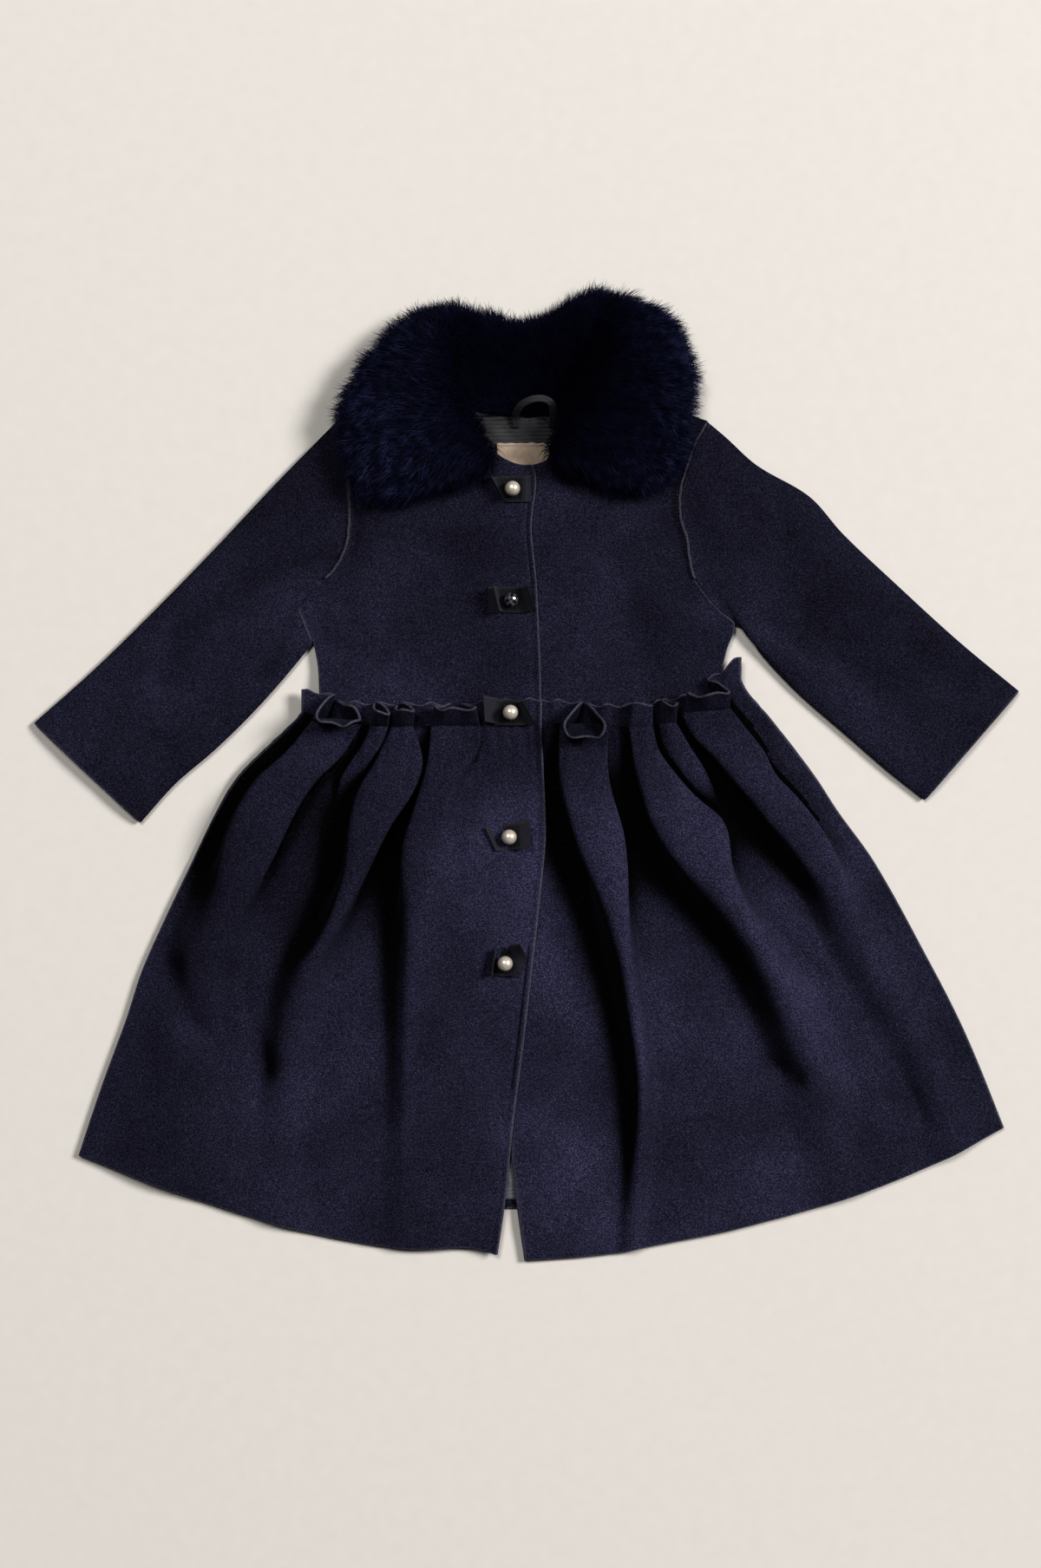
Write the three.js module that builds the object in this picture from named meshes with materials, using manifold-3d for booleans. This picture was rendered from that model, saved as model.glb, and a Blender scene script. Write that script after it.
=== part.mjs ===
// A child's dress coat in double-faced wool, laid flat on its back: fur collar, five ball buttons
// with ribbon bows, set-in sleeves and a skirt whose gathers stand up as a frill above the waist seam.
// Millimetres. +X is to the right as the coat is seen from above, +Y towards the collar, +Z off the table.
// "Left" and "right" are as seen from above, and the left front laps over the right one.
import * as THREE from "three";
import * as BufferGeometryUtils from "three/addons/utils/BufferGeometryUtils.js";
import Module from "manifold-3d";

const wasm = await Module();
wasm.setup();

// Driving dimensions
const WOOL = 2.0; // wall of the double-faced wool cloth
const SLEEVE_WALL = 3.0; // the same with the sleeve's lining
const SEAM_GAP = 0.3; // clearance between pieces that are sewn or lie on each other
const ARMHOLE_GAP = 0.32; // clearance on each side of the armhole seam, which curves
const FRILL = 17; // height of the gathered heading above the waist seam
const SEAM_TUCK = 2; // how far the bodice runs on below the waist seam
const LAP_X = -5; // free edge of the under front, hidden below the upper one
const BODICE_TOP = 7.6; // upper face of the fronts over the chest
const WAIST_LEVEL = 10.7; // upper face of the skirt fronts at the waist seam, between the folds
const SEAM_LEVEL = 4.7; // the same at the side seams, where they meet the back
const HEM_LEVEL = 5.0; // the same at the hem
const LAP_RISE = 2.6; // how much higher the left front lies where it laps over the right one
const WAIST_LAP_RISE = 5.0; // the same at the waist, where it laps over a bodice and a skirt
const BALL_RADIUS = 5.8;
const STONE_BALL_RADIUS = 4.6;
const RIBBON_WIDTH = 20;
const RIBBON = 1.0; // wall of the grosgrain ribbon
const SATIN = 0.7; // wall of the lining

const COLOURS = {
  wool: { color: 0x12141f, roughness: 0.95, metalness: 0 },
  fur: { color: 0x060a1c, roughness: 0.9, metalness: 0 },
  ribbon: { color: 0x0f1019, roughness: 0.7, metalness: 0 },
  satin: { color: 0x15151d, roughness: 0.45, metalness: 0 },
  lining_grey: { color: 0x55565e, roughness: 0.5, metalness: 0 },
  label: { color: 0x8c7864, roughness: 0.8, metalness: 0 },
  metal: { color: 0xcfc6b8, roughness: 0.22, metalness: 1 },
  stone_ball: { color: 0x1a1a20, roughness: 0.3, metalness: 0.6 },
};

// Outlines, seen from above. Each table is read along its first column.
const LEFT_SIDE = [
  { y: 50, x: -166 }, { y: 39, x: -176 }, { y: 26, x: -190 }, { y: 0, x: -216 }, { y: -26, x: -232 },
  { y: -65, x: -251 }, { y: -143, x: -287 }, { y: -182, x: -300 }, { y: -234, x: -319 },
  { y: -285, x: -336 },
];
const RIGHT_SIDE = [
  { y: 77, x: 158 }, { y: 65, x: 164 }, { y: 39, x: 186 }, { y: 0, x: 216 }, { y: -26, x: 233 },
  { y: -65, x: 261 }, { y: -143, x: 304 }, { y: -182, x: 324 }, { y: -221, x: 341 }, { y: -264, x: 358 },
];
const LEFT_HEM = [
  { x: -336, y: -285 }, { x: -265, y: -312 }, { x: -183, y: -338 }, { x: -121, y: -351 },
  { x: -83, y: -355 }, { x: -44, y: -354 }, { x: -22, y: -359 },
];
const RIGHT_HEM = [
  { x: -1, y: -364 }, { x: 60, y: -359 }, { x: 103, y: -351 }, { x: 162, y: -339 }, { x: 252, y: -313 },
  { x: 315, y: -287 }, { x: 358, y: -264 },
];
const BACK_HEM = [
  { x: -336, y: -283 }, { x: -200, y: -312 }, { x: -14, y: -325 }, { x: 200, y: -310 }, { x: 357, y: -262 },
];
const WAIST_SEAM = [
  { x: -170, y: 49 }, { x: -134, y: 39 }, { x: -90, y: 37 }, { x: -33, y: 38 }, { x: 8, y: 40 },
  { x: 60, y: 36 }, { x: 93, y: 38 }, { x: 125, y: 46 }, { x: 146, y: 58 }, { x: 160, y: 72 },
];
const FRONT_EDGE = [
  { y: 233, x: 4 }, { y: 226, x: 6.5 }, { y: 214, x: 6.5 }, { y: 200, x: 4.5 }, { y: 185, x: 3.3 },
  { y: 146, x: 7 }, { y: 88, x: 9.8 }, { y: 40, x: 11 }, { y: -42, x: 14.3 }, { y: -75, x: 11.7 },
  { y: -144, x: 4.2 }, { y: -208, x: -3.3 }, { y: -263, x: -10.4 }, { y: -315, x: -15.6 },
  { y: -359, x: -22 },
];
const UNDER_EDGE = [
  { y: 233, x: LAP_X }, { y: 40, x: LAP_X }, { y: -144, x: -14 }, { y: -263, x: -12.5 },
  { y: -290, x: -10.5 }, { y: -325, x: -6.5 }, { y: -364, x: -1 },
];
// Armhole seams, from the shoulder to the underarm and down to where the sleeve leaves the side
const LEFT_ARMHOLE = [
  { y: 266, x: -143 }, { y: 254, x: -140 }, { y: 226, x: -134 }, { y: 204, x: -133 }, { y: 180, x: -134 },
  { y: 166, x: -138 }, { y: 152, x: -147 }, { y: 142, x: -159 }, { y: 130, x: -170 }, { y: 116, x: -166 },
  { y: 100, x: -160 }, { y: 78, x: -156 }, { y: 30, x: -155 },
];
const RIGHT_ARMHOLE = [
  { y: 266, x: 136 }, { y: 251, x: 127 }, { y: 236, x: 121.5 }, { y: 218, x: 116 }, { y: 205, x: 115 },
  { y: 192, x: 116 }, { y: 180, x: 120 }, { y: 166, x: 122 }, { y: 151, x: 125 }, { y: 138, x: 133 },
  { y: 124, x: 145 }, { y: 114, x: 156 }, { y: 94, x: 150 }, { y: 68, x: 144.5 }, { y: 30, x: 142 },
];
const FRONT_NECK = [
  { x: 4, y: 233 }, { x: 11, y: 235 }, { x: 21, y: 240.5 }, { x: 38, y: 252 }, { x: 56, y: 271 },
  { x: 68, y: 290 },
];
const BACK_NECK = [
  { x: 0, y: 271 }, { x: 30, y: 274 }, { x: 52, y: 281 }, { x: 68, y: 290 },
];
// Sleeves: the upper edge (ax, ay) and the lower edge (bx, by) from armhole to cuff, and the crown there
const LEFT_SLEEVE = [
  { t: 0, ax: -143, ay: 266, bx: -160, by: 100, crown: 8.2 },
  { t: 0.2, ax: -190, ay: 218, bx: -186, by: 69, crown: 9.8 },
  { t: 0.4, ax: -236, ay: 169, bx: -210, by: 43, crown: 9.8 },
  { t: 0.6, ax: -280, ay: 124, bx: -236, by: 18, crown: 9.6 },
  { t: 0.8, ax: -325, ay: 80, bx: -264, by: -6, crown: 9 },
  { t: 1, ax: -369.9, ay: 40, bx: -290, by: -35, crown: 8 },
];
const RIGHT_SLEEVE = [
  { t: 0, ax: 137, ay: 266, bx: 156, by: 114, crown: 8.2 },
  { t: 0.05, ax: 150, ay: 255, bx: 163.5, by: 110, crown: 8.8 },
  { t: 0.14, ax: 173, ay: 234, bx: 175, by: 93, crown: 9.6 },
  { t: 0.3, ax: 213, ay: 210, bx: 195, by: 71, crown: 9.9 },
  { t: 0.42, ax: 238, ay: 182, bx: 212, by: 55, crown: 9.8 },
  { t: 0.6, ax: 277, ay: 145, bx: 240, by: 31, crown: 9.5 },
  { t: 0.8, ax: 324, ay: 102, bx: 270, by: 5, crown: 9 },
  { t: 1, ax: 369.9, ay: 64, bx: 299, by: -18, crown: 8 },
];

// Folds of the skirt fronts. A path gives the two sides of the fold's crest, as seen from above, and its
// height, at shares v of the way from the waist seam to the hem. At the waist the fold's feet are set in
// by undercut on both sides and its crest leans over by lean. stand is how far the frill on it tips up,
// in degrees, and steps its share of the columns.
const LEFT_FOLDS = [
  { undercut: 10, lean: 3, stand: 104, steps: 20, path: [
    { v: 0, left: -162, right: -124, rise: 11 }, { v: 0.07, left: -181, right: -139, rise: 12 },
    { v: 0.13, left: -204, right: -160, rise: 12.5 }, { v: 0.21, left: -222, right: -178, rise: 12 },
    { v: 0.32, left: -242, right: -190, rise: 10.5 }, { v: 0.45, left: -262, right: -204, rise: 8 },
    { v: 0.56, left: -278, right: -219, rise: 6 }, { v: 0.7, left: -296, right: -222, rise: 5 },
    { v: 1, left: -328, right: -236, rise: 3.5 },
  ] },
  { undercut: 3, lean: 6, stand: 63, steps: 12, path: [
    { v: 0, left: -121, right: -107.5, rise: 10 }, { v: 0.04, left: -126, right: -112, rise: 8 },
    { v: 0.1, left: -139, right: -125, rise: 4 }, { v: 0.2, left: -154, right: -145, rise: 0 },
    { v: 0.45, left: -193, right: -186, rise: 0 }, { v: 0.7, left: -215, right: -210, rise: 0 },
    { v: 1, left: -226, right: -220, rise: 0 },
  ] },
  { undercut: 4, lean: 6, stand: 53, steps: 16, path: [
    { v: 0, left: -105, right: -89, rise: 10 }, { v: 0.07, left: -115, right: -80, rise: 10 },
    { v: 0.13, left: -128, right: -87, rise: 10.5 }, { v: 0.2, left: -135, right: -104, rise: 11 },
    { v: 0.3, left: -143, right: -119, rise: 11 }, { v: 0.4, left: -162, right: -134, rise: 10 },
    { v: 0.5, left: -188, right: -146, rise: 7.5 }, { v: 0.7, left: -203, right: -156, rise: 5 },
    { v: 1, left: -212, right: -160, rise: 2.5 },
  ] },
  { undercut: 6, lean: 0, stand: 47, steps: 20, path: [
    { v: 0, left: -71, right: -35, rise: 8 }, { v: 0.07, left: -74, right: -34, rise: 9.5 },
    { v: 0.15, left: -83, right: -40, rise: 10.5 }, { v: 0.25, left: -96, right: -44, rise: 10.5 },
    { v: 0.35, left: -105, right: -50, rise: 10 }, { v: 0.45, left: -109, right: -60, rise: 8.5 },
    { v: 0.6, left: -108, right: -68, rise: 5.5 }, { v: 1, left: -112, right: -74, rise: 2.5 },
  ] },
];
const RIGHT_FOLDS = [
  { undercut: 9, lean: 0, stand: 126, steps: 20, path: [
    { v: 0, left: 25, right: 61, rise: 10 }, { v: 0.1, left: 24, right: 61, rise: 13 },
    { v: 0.2, left: 32, right: 70, rise: 14 }, { v: 0.3, left: 42, right: 78, rise: 13.5 },
    { v: 0.4, left: 50, right: 85, rise: 12 }, { v: 0.5, left: 60, right: 91, rise: 10 },
    { v: 0.66, left: 72, right: 99, rise: 8 }, { v: 0.8, left: 72, right: 98, rise: 6 },
    { v: 1, left: 66, right: 92, rise: 3.5 },
  ] },
  { undercut: 3, lean: 2, stand: 16, steps: 16, path: [
    { v: 0, left: 75, right: 93, rise: 9 }, { v: 0.05, left: 78, right: 98, rise: 10 },
    { v: 0.1, left: 81, right: 110, rise: 11 }, { v: 0.15, left: 85, right: 124, rise: 12 },
    { v: 0.2, left: 89, right: 142, rise: 13 }, { v: 0.3, left: 104, right: 157, rise: 13.5 },
    { v: 0.4, left: 128, right: 180, rise: 13 }, { v: 0.5, left: 152, right: 204, rise: 11 },
    { v: 0.66, left: 176, right: 236, rise: 8 }, { v: 0.8, left: 192, right: 252, rise: 5 },
    { v: 1, left: 210, right: 270, rise: 2.5 },
  ] },
  { undercut: 3, lean: 4, stand: 40, steps: 12, path: [
    { v: 0, left: 96, right: 109, rise: 9 }, { v: 0.05, left: 101, right: 120, rise: 9 },
    { v: 0.1, left: 113, right: 132, rise: 7 }, { v: 0.15, left: 127, right: 140, rise: 4 },
    { v: 0.2, left: 145, right: 150, rise: 0 }, { v: 0.3, left: 160, right: 166, rise: 0 },
    { v: 0.4, left: 184, right: 189, rise: 0 }, { v: 0.66, left: 240, right: 244, rise: 0 },
    { v: 1, left: 274, right: 280, rise: 0 },
  ] },
  { undercut: 6, lean: 4, stand: 50, steps: 20, path: [
    { v: 0, left: 113, right: 149, rise: 10 }, { v: 0.05, left: 123, right: 163, rise: 11 },
    { v: 0.1, left: 139, right: 176, rise: 12 }, { v: 0.15, left: 152, right: 184, rise: 12 },
    { v: 0.2, left: 166, right: 199, rise: 12 }, { v: 0.3, left: 188, right: 228, rise: 10 },
    { v: 0.4, left: 206, right: 250, rise: 7.5 }, { v: 0.5, left: 222, right: 268, rise: 5.5 },
    { v: 0.66, left: 252, right: 298, rise: 4 }, { v: 1, left: 300, right: 343, rise: 3 },
  ] },
];
// The outer edges of the skirt fronts, in the same way
const LEFT_ENDS = {
  left: { side: "left", path: [
    { v: 0, x: -166 }, { v: 0.15, x: -221 }, { v: 0.45, x: -268 }, { v: 1, x: -336 },
  ] },
  right: { side: "right", path: [
    { v: 0, x: 11 }, { v: 0.15, x: 14 }, { v: 0.45, x: 6 }, { v: 1, x: -22 },
  ] },
};
const RIGHT_ENDS = {
  left: { side: "left", path: [
    { v: 0, x: LAP_X }, { v: 0.15, x: -8 }, { v: 0.45, x: -13 }, { v: 1, x: -1 },
  ] },
  right: { side: "right", path: [
    { v: 0, x: 161 }, { v: 0.15, x: 198 }, { v: 0.45, x: 269 }, { v: 1, x: 358 },
  ] },
};
const PLAIN_STEP = 8; // column width on the plain cloth between folds, at the waist
const PLAIN_STAND = 10; // how far the frill tips up on the plain cloth, in degrees

// Soft troughs (depth above 0) and ridges (below 0) along a line from a to b
const SLEEVE_CREASES = [
  { a: [-146, 240], b: [-152, 200], width: 9, depth: 2 },
  { a: [-166, 162], b: [-205, 146], width: 12, depth: 2.2 },
  { a: [-205, 146], b: [-254, 108], width: 14, depth: 2.4 },
  { a: [-254, 108], b: [-271, 74], width: 14, depth: 2.2 },
  { a: [-174, 118], b: [-196, 78], width: 8, depth: 2 },
  { a: [-196, 78], b: [-207, 46], width: 8, depth: 1.8 },
  { a: [-284, 26], b: [-306, -2], width: 9, depth: 1.6 },
  { a: [143, 240], b: [156, 200], width: 9, depth: 1.8 },
  { a: [190, 205], b: [196, 176], width: 9, depth: 1.4 },
  { a: [215, 120], b: [262, 70], width: 14, depth: 2.4 },
  { a: [290, 96], b: [326, 62], width: 12, depth: 1.4 },
];
const BODICE_CREASES = [
  { a: [-130, 190], b: [-60, 176], width: 16, depth: 0.8 },
  { a: [118, 190], b: [70, 170], width: 16, depth: 0.8 },
  { a: [-150, 105], b: [-110, 88], width: 12, depth: 0.7 },
];
const SKIRT_CREASES = [
  { a: [-264, -148], b: [-246, -186], width: 13, depth: 4 },
  { a: [-246, -186], b: [-224, -204], width: 11, depth: 4 },
  { a: [-216, -150], b: [-204, -210], width: 12, depth: 3 },
  { a: [-84, -250], b: [-66, -315], width: 20, depth: 1.4 },
  { a: [196, -236], b: [252, -214], width: 11, depth: 3 },
  { a: [222, -262], b: [252, -284], width: 12, depth: 2 },
  { a: [278, -190], b: [300, -250], width: 13, depth: 2.4 },
  { a: [112, -170], b: [150, -290], width: 16, depth: 1.6 },
];

// Pleats pressed flat into the back skirt, seen only from below: centre at the waist and at the hem
const BACK_PLEATS = [
  { waist: -132, hem: -262, width: 15 }, { waist: -96, hem: -190, width: 13 },
  { waist: -62, hem: -122, width: 15 }, { waist: -24, hem: -46, width: 13 },
  { waist: 14, hem: 28, width: 14 }, { waist: 52, hem: 104, width: 13 },
  { waist: 88, hem: 176, width: 15 }, { waist: 124, hem: 252, width: 13 },
];

// Fur collar: outlines of the two fallen leaves and of the part behind the neck
const LEFT_LEAF = [
  { x: -19, y: 242 }, { x: -22, y: 231 }, { x: -40, y: 219 }, { x: -64, y: 211 }, { x: -92, y: 201 },
  { x: -118, y: 207 }, { x: -135, y: 229 }, { x: -141, y: 257 }, { x: -140, y: 279 }, { x: -128, y: 303 },
  { x: -112, y: 325 }, { x: -92, y: 343 }, { x: -66, y: 354 }, { x: -50, y: 345 }, { x: -48, y: 322 },
  { x: -46, y: 296 }, { x: -35, y: 273 }, { x: -26, y: 257 },
];
const RIGHT_LEAF = [
  { x: 11, y: 240 }, { x: 14, y: 253 }, { x: 24, y: 274 }, { x: 34, y: 296 }, { x: 46, y: 318 },
  { x: 52, y: 342 }, { x: 66, y: 361 }, { x: 90, y: 357 }, { x: 111, y: 341 }, { x: 123, y: 318 },
  { x: 125, y: 296 },
  { x: 124, y: 268 }, { x: 120, y: 243 }, { x: 106, y: 222 }, { x: 84, y: 211 }, { x: 60, y: 214 },
  { x: 36, y: 222 }, { x: 18, y: 228 },
];
const COLLAR_BACK = [
  { x: -44, y: 282 }, { x: -70, y: 298 }, { x: -98, y: 318 }, { x: -84, y: 341 }, { x: -60, y: 353 },
  { x: -38, y: 350 }, { x: -18, y: 345 }, { x: -3, y: 341 }, { x: 14, y: 347 }, { x: 34, y: 358 },
  { x: 54, y: 364.8 }, { x: 78, y: 356 }, { x: 98, y: 336 }, { x: 96, y: 312 }, { x: 66, y: 296 },
  { x: 36, y: 279 }, { x: 0, y: 273.5 },
];
const LEAF_HEIGHT = 26;
const COLLAR_BACK_HEIGHT = 20;

// Bows: the ball's centre, then for each arm its length, where it starts to lift off the cloth, how
// steeply its end stands and how far it turns in the plane of the cloth, both in degrees
const BOWS = [
  { x: -10.5, y: 215,
    left: { reach: 15, flat: 9, lift: 62, turn: 8 }, right: { reach: 13, flat: 9, lift: 8, turn: 2 } },
  { x: -11.5, y: 132,
    left: { reach: 18, flat: 7, lift: 58, turn: 2 }, right: { reach: 17, flat: 9, lift: 74, turn: -8 } },
  { x: -12, y: 47.5,
    left: { reach: 22, flat: 7.5, lift: 84, turn: 2 }, right: { reach: 16, flat: 8, lift: 70, turn: -10 } },
  { x: -13, y: -45.5,
    left: { reach: 17, flat: 7, lift: 40, turn: 14 }, right: { reach: 17, flat: 7, lift: 28, turn: 6 } },
  { x: -16, y: -140,
    left: { reach: 17, flat: 7.5, lift: 80, turn: -6 },
    right: { reach: 19, flat: 7.5, lift: 50, turn: 24 } },
];
const STONE_BALL = 1; // index of the bow whose ball is set with stones

const SHOULDER_Y = 266; // the shoulder seam's outer end
const SLEEVE_HALF_COLUMNS = 12; // columns over a sleeve's upper half, and over its lower half
const ROWS_UNDER_ARM = 4;

// Small helpers
const lerp = (a, b, t) => a + (b - a) * t;
const clamp = (value, low, high) => Math.min(high, Math.max(low, value));
const radians = THREE.MathUtils.degToRad;

function smooth(from, to, value) {
  const t = clamp((value - from) / (to - from || 1), 0, 1);
  return t * t * (3 - 2 * t);
}

// Reads column `out` of a table at `value` of column `by`, through a smooth curve
function read(table, by, out, value) {
  const rows = table[0][by] <= table[table.length - 1][by] ? table : [...table].reverse();
  const at = clamp(value, rows[0][by], rows[rows.length - 1][by]);
  let i = 0;
  while (i < rows.length - 2 && rows[i + 1][by] < at) {
    i += 1;
  }
  const slope = (j) => {
    const low = rows[Math.max(0, j - 1)];
    const high = rows[Math.min(rows.length - 1, j + 1)];
    return (high[out] - low[out]) / (high[by] - low[by]);
  };
  const span = rows[i + 1][by] - rows[i][by];
  const t = (at - rows[i][by]) / span;
  const h = t * t * (3 - 2 * t);
  const bend = span * (t * (1 - t) * (1 - t) * slope(i) - t * t * (1 - t) * slope(i + 1));
  return lerp(rows[i][out], rows[i + 1][out], h) + bend;
}

// Depth of the creases in a table at one place
function relief(creases, x, y) {
  let depth = 0;
  for (const { a, b, width, depth: deep } of creases) {
    const along = [b[0] - a[0], b[1] - a[1]];
    const length2 = along[0] ** 2 + along[1] ** 2;
    const t = ((x - a[0]) * along[0] + (y - a[1]) * along[1]) / length2;
    const near = clamp(t, 0, 1);
    const off = Math.hypot(x - a[0] - near * along[0], y - a[1] - near * along[1]);
    depth += deep * Math.exp(-((off / width) ** 2));
  }
  return depth;
}

// Triangles between two rows of vertices. The lower row has as many columns, or half as many.
function stitch(faces, upper, lower, flip) {
  const add = (a, b, c) => faces.push(...(flip ? [a, c, b] : [a, b, c]));
  if (upper.length === lower.length) {
    for (let i = 0; i + 1 < upper.length; i += 1) {
      add(upper[i], lower[i], lower[i + 1]);
      add(upper[i], lower[i + 1], upper[i + 1]);
    }
    return;
  }
  for (let j = 0; j + 1 < lower.length; j += 1) {
    const i = 2 * j;
    add(upper[i], lower[j], upper[i + 1]);
    add(upper[i + 1], lower[j], lower[j + 1]);
    add(upper[i + 1], lower[j + 1], upper[i + 2]);
  }
}

function geometryFrom(points, faces) {
  const geometry = new THREE.BufferGeometry();
  const values = points.flatMap((p) => p.toArray());
  geometry.setAttribute("position", new THREE.Float32BufferAttribute(values, 3));
  geometry.setIndex(faces);
  return geometry;
}

// A closed wall of cloth. rows are the outer face's points, from top to bottom and left to right.
// The inner face is set back by thickness, square to the cloth or straight down.
// With ring set, each row closes on itself and the wall is a tube, open at both ends.
// innerRows gives the inner face's points where they don't follow from the thickness.
function clothWall(rows, thickness, { ring = false, straightDown = false, innerRows = null } = {}) {
  const points = rows.flat();
  const starts = rows.map((row, i) => rows.slice(0, i).reduce((sum, r) => sum + r.length, 0));
  const index = rows.map((row, i) => {
    const ids = row.map((_, j) => starts[i] + j);
    return ring ? [...ids, ids[0]] : ids;
  });
  const outerFaces = [];
  for (let i = 0; i + 1 < rows.length; i += 1) {
    stitch(outerFaces, index[i], index[i + 1], false);
  }
  const normals = points.map(() => new THREE.Vector3());
  for (let f = 0; f < outerFaces.length; f += 3) {
    const [a, b, c] = [0, 1, 2].map((k) => points[outerFaces[f + k]]);
    const normal = new THREE.Vector3().subVectors(b, a).cross(new THREE.Vector3().subVectors(c, a));
    [0, 1, 2].forEach((k) => normals[outerFaces[f + k]].add(normal));
  }
  const down = new THREE.Vector3(0, 0, 1);
  const outward = (i) => (straightDown ? down : normals[i].normalize());
  const setBack = (p, i) => p.clone().addScaledVector(outward(i), -thickness);
  const inner = innerRows ? innerRows.flat() : points.map(setBack);
  const shift = points.length;
  const faces = [...outerFaces];
  for (let f = 0; f < outerFaces.length; f += 3) {
    faces.push(outerFaces[f] + shift, outerFaces[f + 2] + shift, outerFaces[f + 1] + shift);
  }
  const rim = (edge) => {
    for (let i = 0; i + 1 < edge.length; i += 1) {
      const [a, b] = [edge[i], edge[i + 1]];
      faces.push(a, b, b + shift, a, b + shift, a + shift);
    }
  };
  rim([...index[0]]);
  rim([...index[index.length - 1]].reverse());
  if (!ring) {
    rim(index.map((ids) => ids[0]).reverse());
    rim(index.map((ids) => ids[ids.length - 1]));
  }
  return geometryFrom([...points, ...inner], faces);
}

// Bodice: a ruled panel between two side outlines, from the shoulder and neck down to the waist
function neckLine(x, neck) {
  const root = neck[neck.length - 1];
  const tip = x < 0 ? -ARM_SIDE_LEFT.x(SHOULDER_Y) : ARM_SIDE_RIGHT.x(SHOULDER_Y);
  const side = Math.abs(x);
  if (side < root.x) {
    return read(neck, "x", "y", side);
  }
  return lerp(root.y, SHOULDER_Y, (side - root.x) / (tip - root.x));
}

// Share of the way down a bodice's side at row i. The rows down to the underarm meet the sleeve's rows.
const ringShare = (i) => (1 - Math.cos((Math.PI * i) / SLEEVE_HALF_COLUMNS)) / 2;

function sideShare(i, armEndY, bottomY) {
  const underarm = (SHOULDER_Y - armEndY) / (SHOULDER_Y - bottomY);
  return i <= SLEEVE_HALF_COLUMNS
    ? underarm * ringShare(i)
    : lerp(underarm, 1, (i - SLEEVE_HALF_COLUMNS) / ROWS_UNDER_ARM);
}

const bodiceBottom = (x) => read(WAIST_SEAM, "x", "y", x) - SEAM_TUCK;

// left and right each give the side's x at a height, its top and where the sleeve ends on it
function bodiceRows({ left, right, neck, columns, level }) {
  const rows = [];
  for (let i = 0; i <= SLEEVE_HALF_COLUMNS + ROWS_UNDER_ARM; i += 1) {
    const share = (side) => sideShare(i, side.armEndY, bodiceBottom(side.x(60)));
    const [leftV, rightV] = [share(left), share(right)];
    const leftX = left.x(lerp(left.top, bodiceBottom(left.x(60)), leftV));
    const rightX = right.x(lerp(right.top, bodiceBottom(right.x(60)), rightV));
    const row = [];
    for (let j = 0; j <= columns; j += 1) {
      const u = j / columns;
      const x = lerp(leftX, rightX, u);
      const topY = neck(lerp(left.x(left.top), right.x(right.top), u));
      const bottomY = bodiceBottom(lerp(left.x(60), right.x(60), u));
      const y = lerp(topY, bottomY, lerp(leftV, rightV, u));
      row.push(new THREE.Vector3(x, y, level(x, y)));
    }
    rows.push(row);
  }
  return rows;
}

const ARM_SIDE_LEFT = {
  x: (y) => read(LEFT_ARMHOLE, "y", "x", y) + ARMHOLE_GAP, top: SHOULDER_Y, armEndY: LEFT_SLEEVE[0].by,
};
const ARM_SIDE_RIGHT = {
  x: (y) => read(RIGHT_ARMHOLE, "y", "x", y) - ARMHOLE_GAP, top: SHOULDER_Y, armEndY: RIGHT_SLEEVE[0].by,
};

// 1 under the frill and below the waist seam, 0 on the chest
const nearWaist = (x, y) => 1 - smooth(FRILL + 2, FRILL + 26, y - read(WAIST_SEAM, "x", "y", x));
// 1 where the left front laps over the right one
const lapped = (x) => smooth(-56, -19, x);
// The fronts fall away towards the side seams
const sideFall = (x, y) => 1.4 * smooth(104, 156, Math.abs(x)) * smooth(160, 100, y);

function rightFrontLevel(x, y) {
  const chest = BODICE_TOP - sideFall(x, y) - relief(BODICE_CREASES, x, y);
  return lerp(chest, WAIST_LEVEL - WOOL - SEAM_GAP - 0.1, nearWaist(x, y));
}

function leftFrontLevel(x, y) {
  const near = nearWaist(x, y);
  return rightFrontLevel(x, y) + lapped(x) * lerp(LAP_RISE, WAIST_LAP_RISE, near);
}

function backBodiceLevel(x, y) {
  return WOOL + 3.9 * nearWaist(x, y);
}

function bodiceLeft() {
  const centre = { x: (y) => read(FRONT_EDGE, "y", "x", y), top: 233, armEndY: ARM_SIDE_LEFT.armEndY };
  const neck = (x) => neckLine(x, FRONT_NECK);
  const rows = bodiceRows({ left: ARM_SIDE_LEFT, right: centre, neck, columns: 11, level: leftFrontLevel });
  return clothWall(rows, WOOL, { straightDown: true });
}

function bodiceRight() {
  const centre = { x: (y) => read(UNDER_EDGE, "y", "x", y), top: 233, armEndY: ARM_SIDE_RIGHT.armEndY };
  const neck = (x) => neckLine(x, FRONT_NECK);
  const sides = { left: centre, right: ARM_SIDE_RIGHT };
  const rows = bodiceRows({ ...sides, neck, columns: 10, level: rightFrontLevel });
  return clothWall(rows, WOOL, { straightDown: true });
}

function bodiceBack() {
  const neck = (x) => neckLine(x, BACK_NECK);
  const sides = { left: ARM_SIDE_LEFT, right: ARM_SIDE_RIGHT };
  const rows = bodiceRows({ ...sides, neck, columns: 14, level: backBodiceLevel });
  return clothWall(rows, WOOL, { straightDown: true });
}

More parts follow.
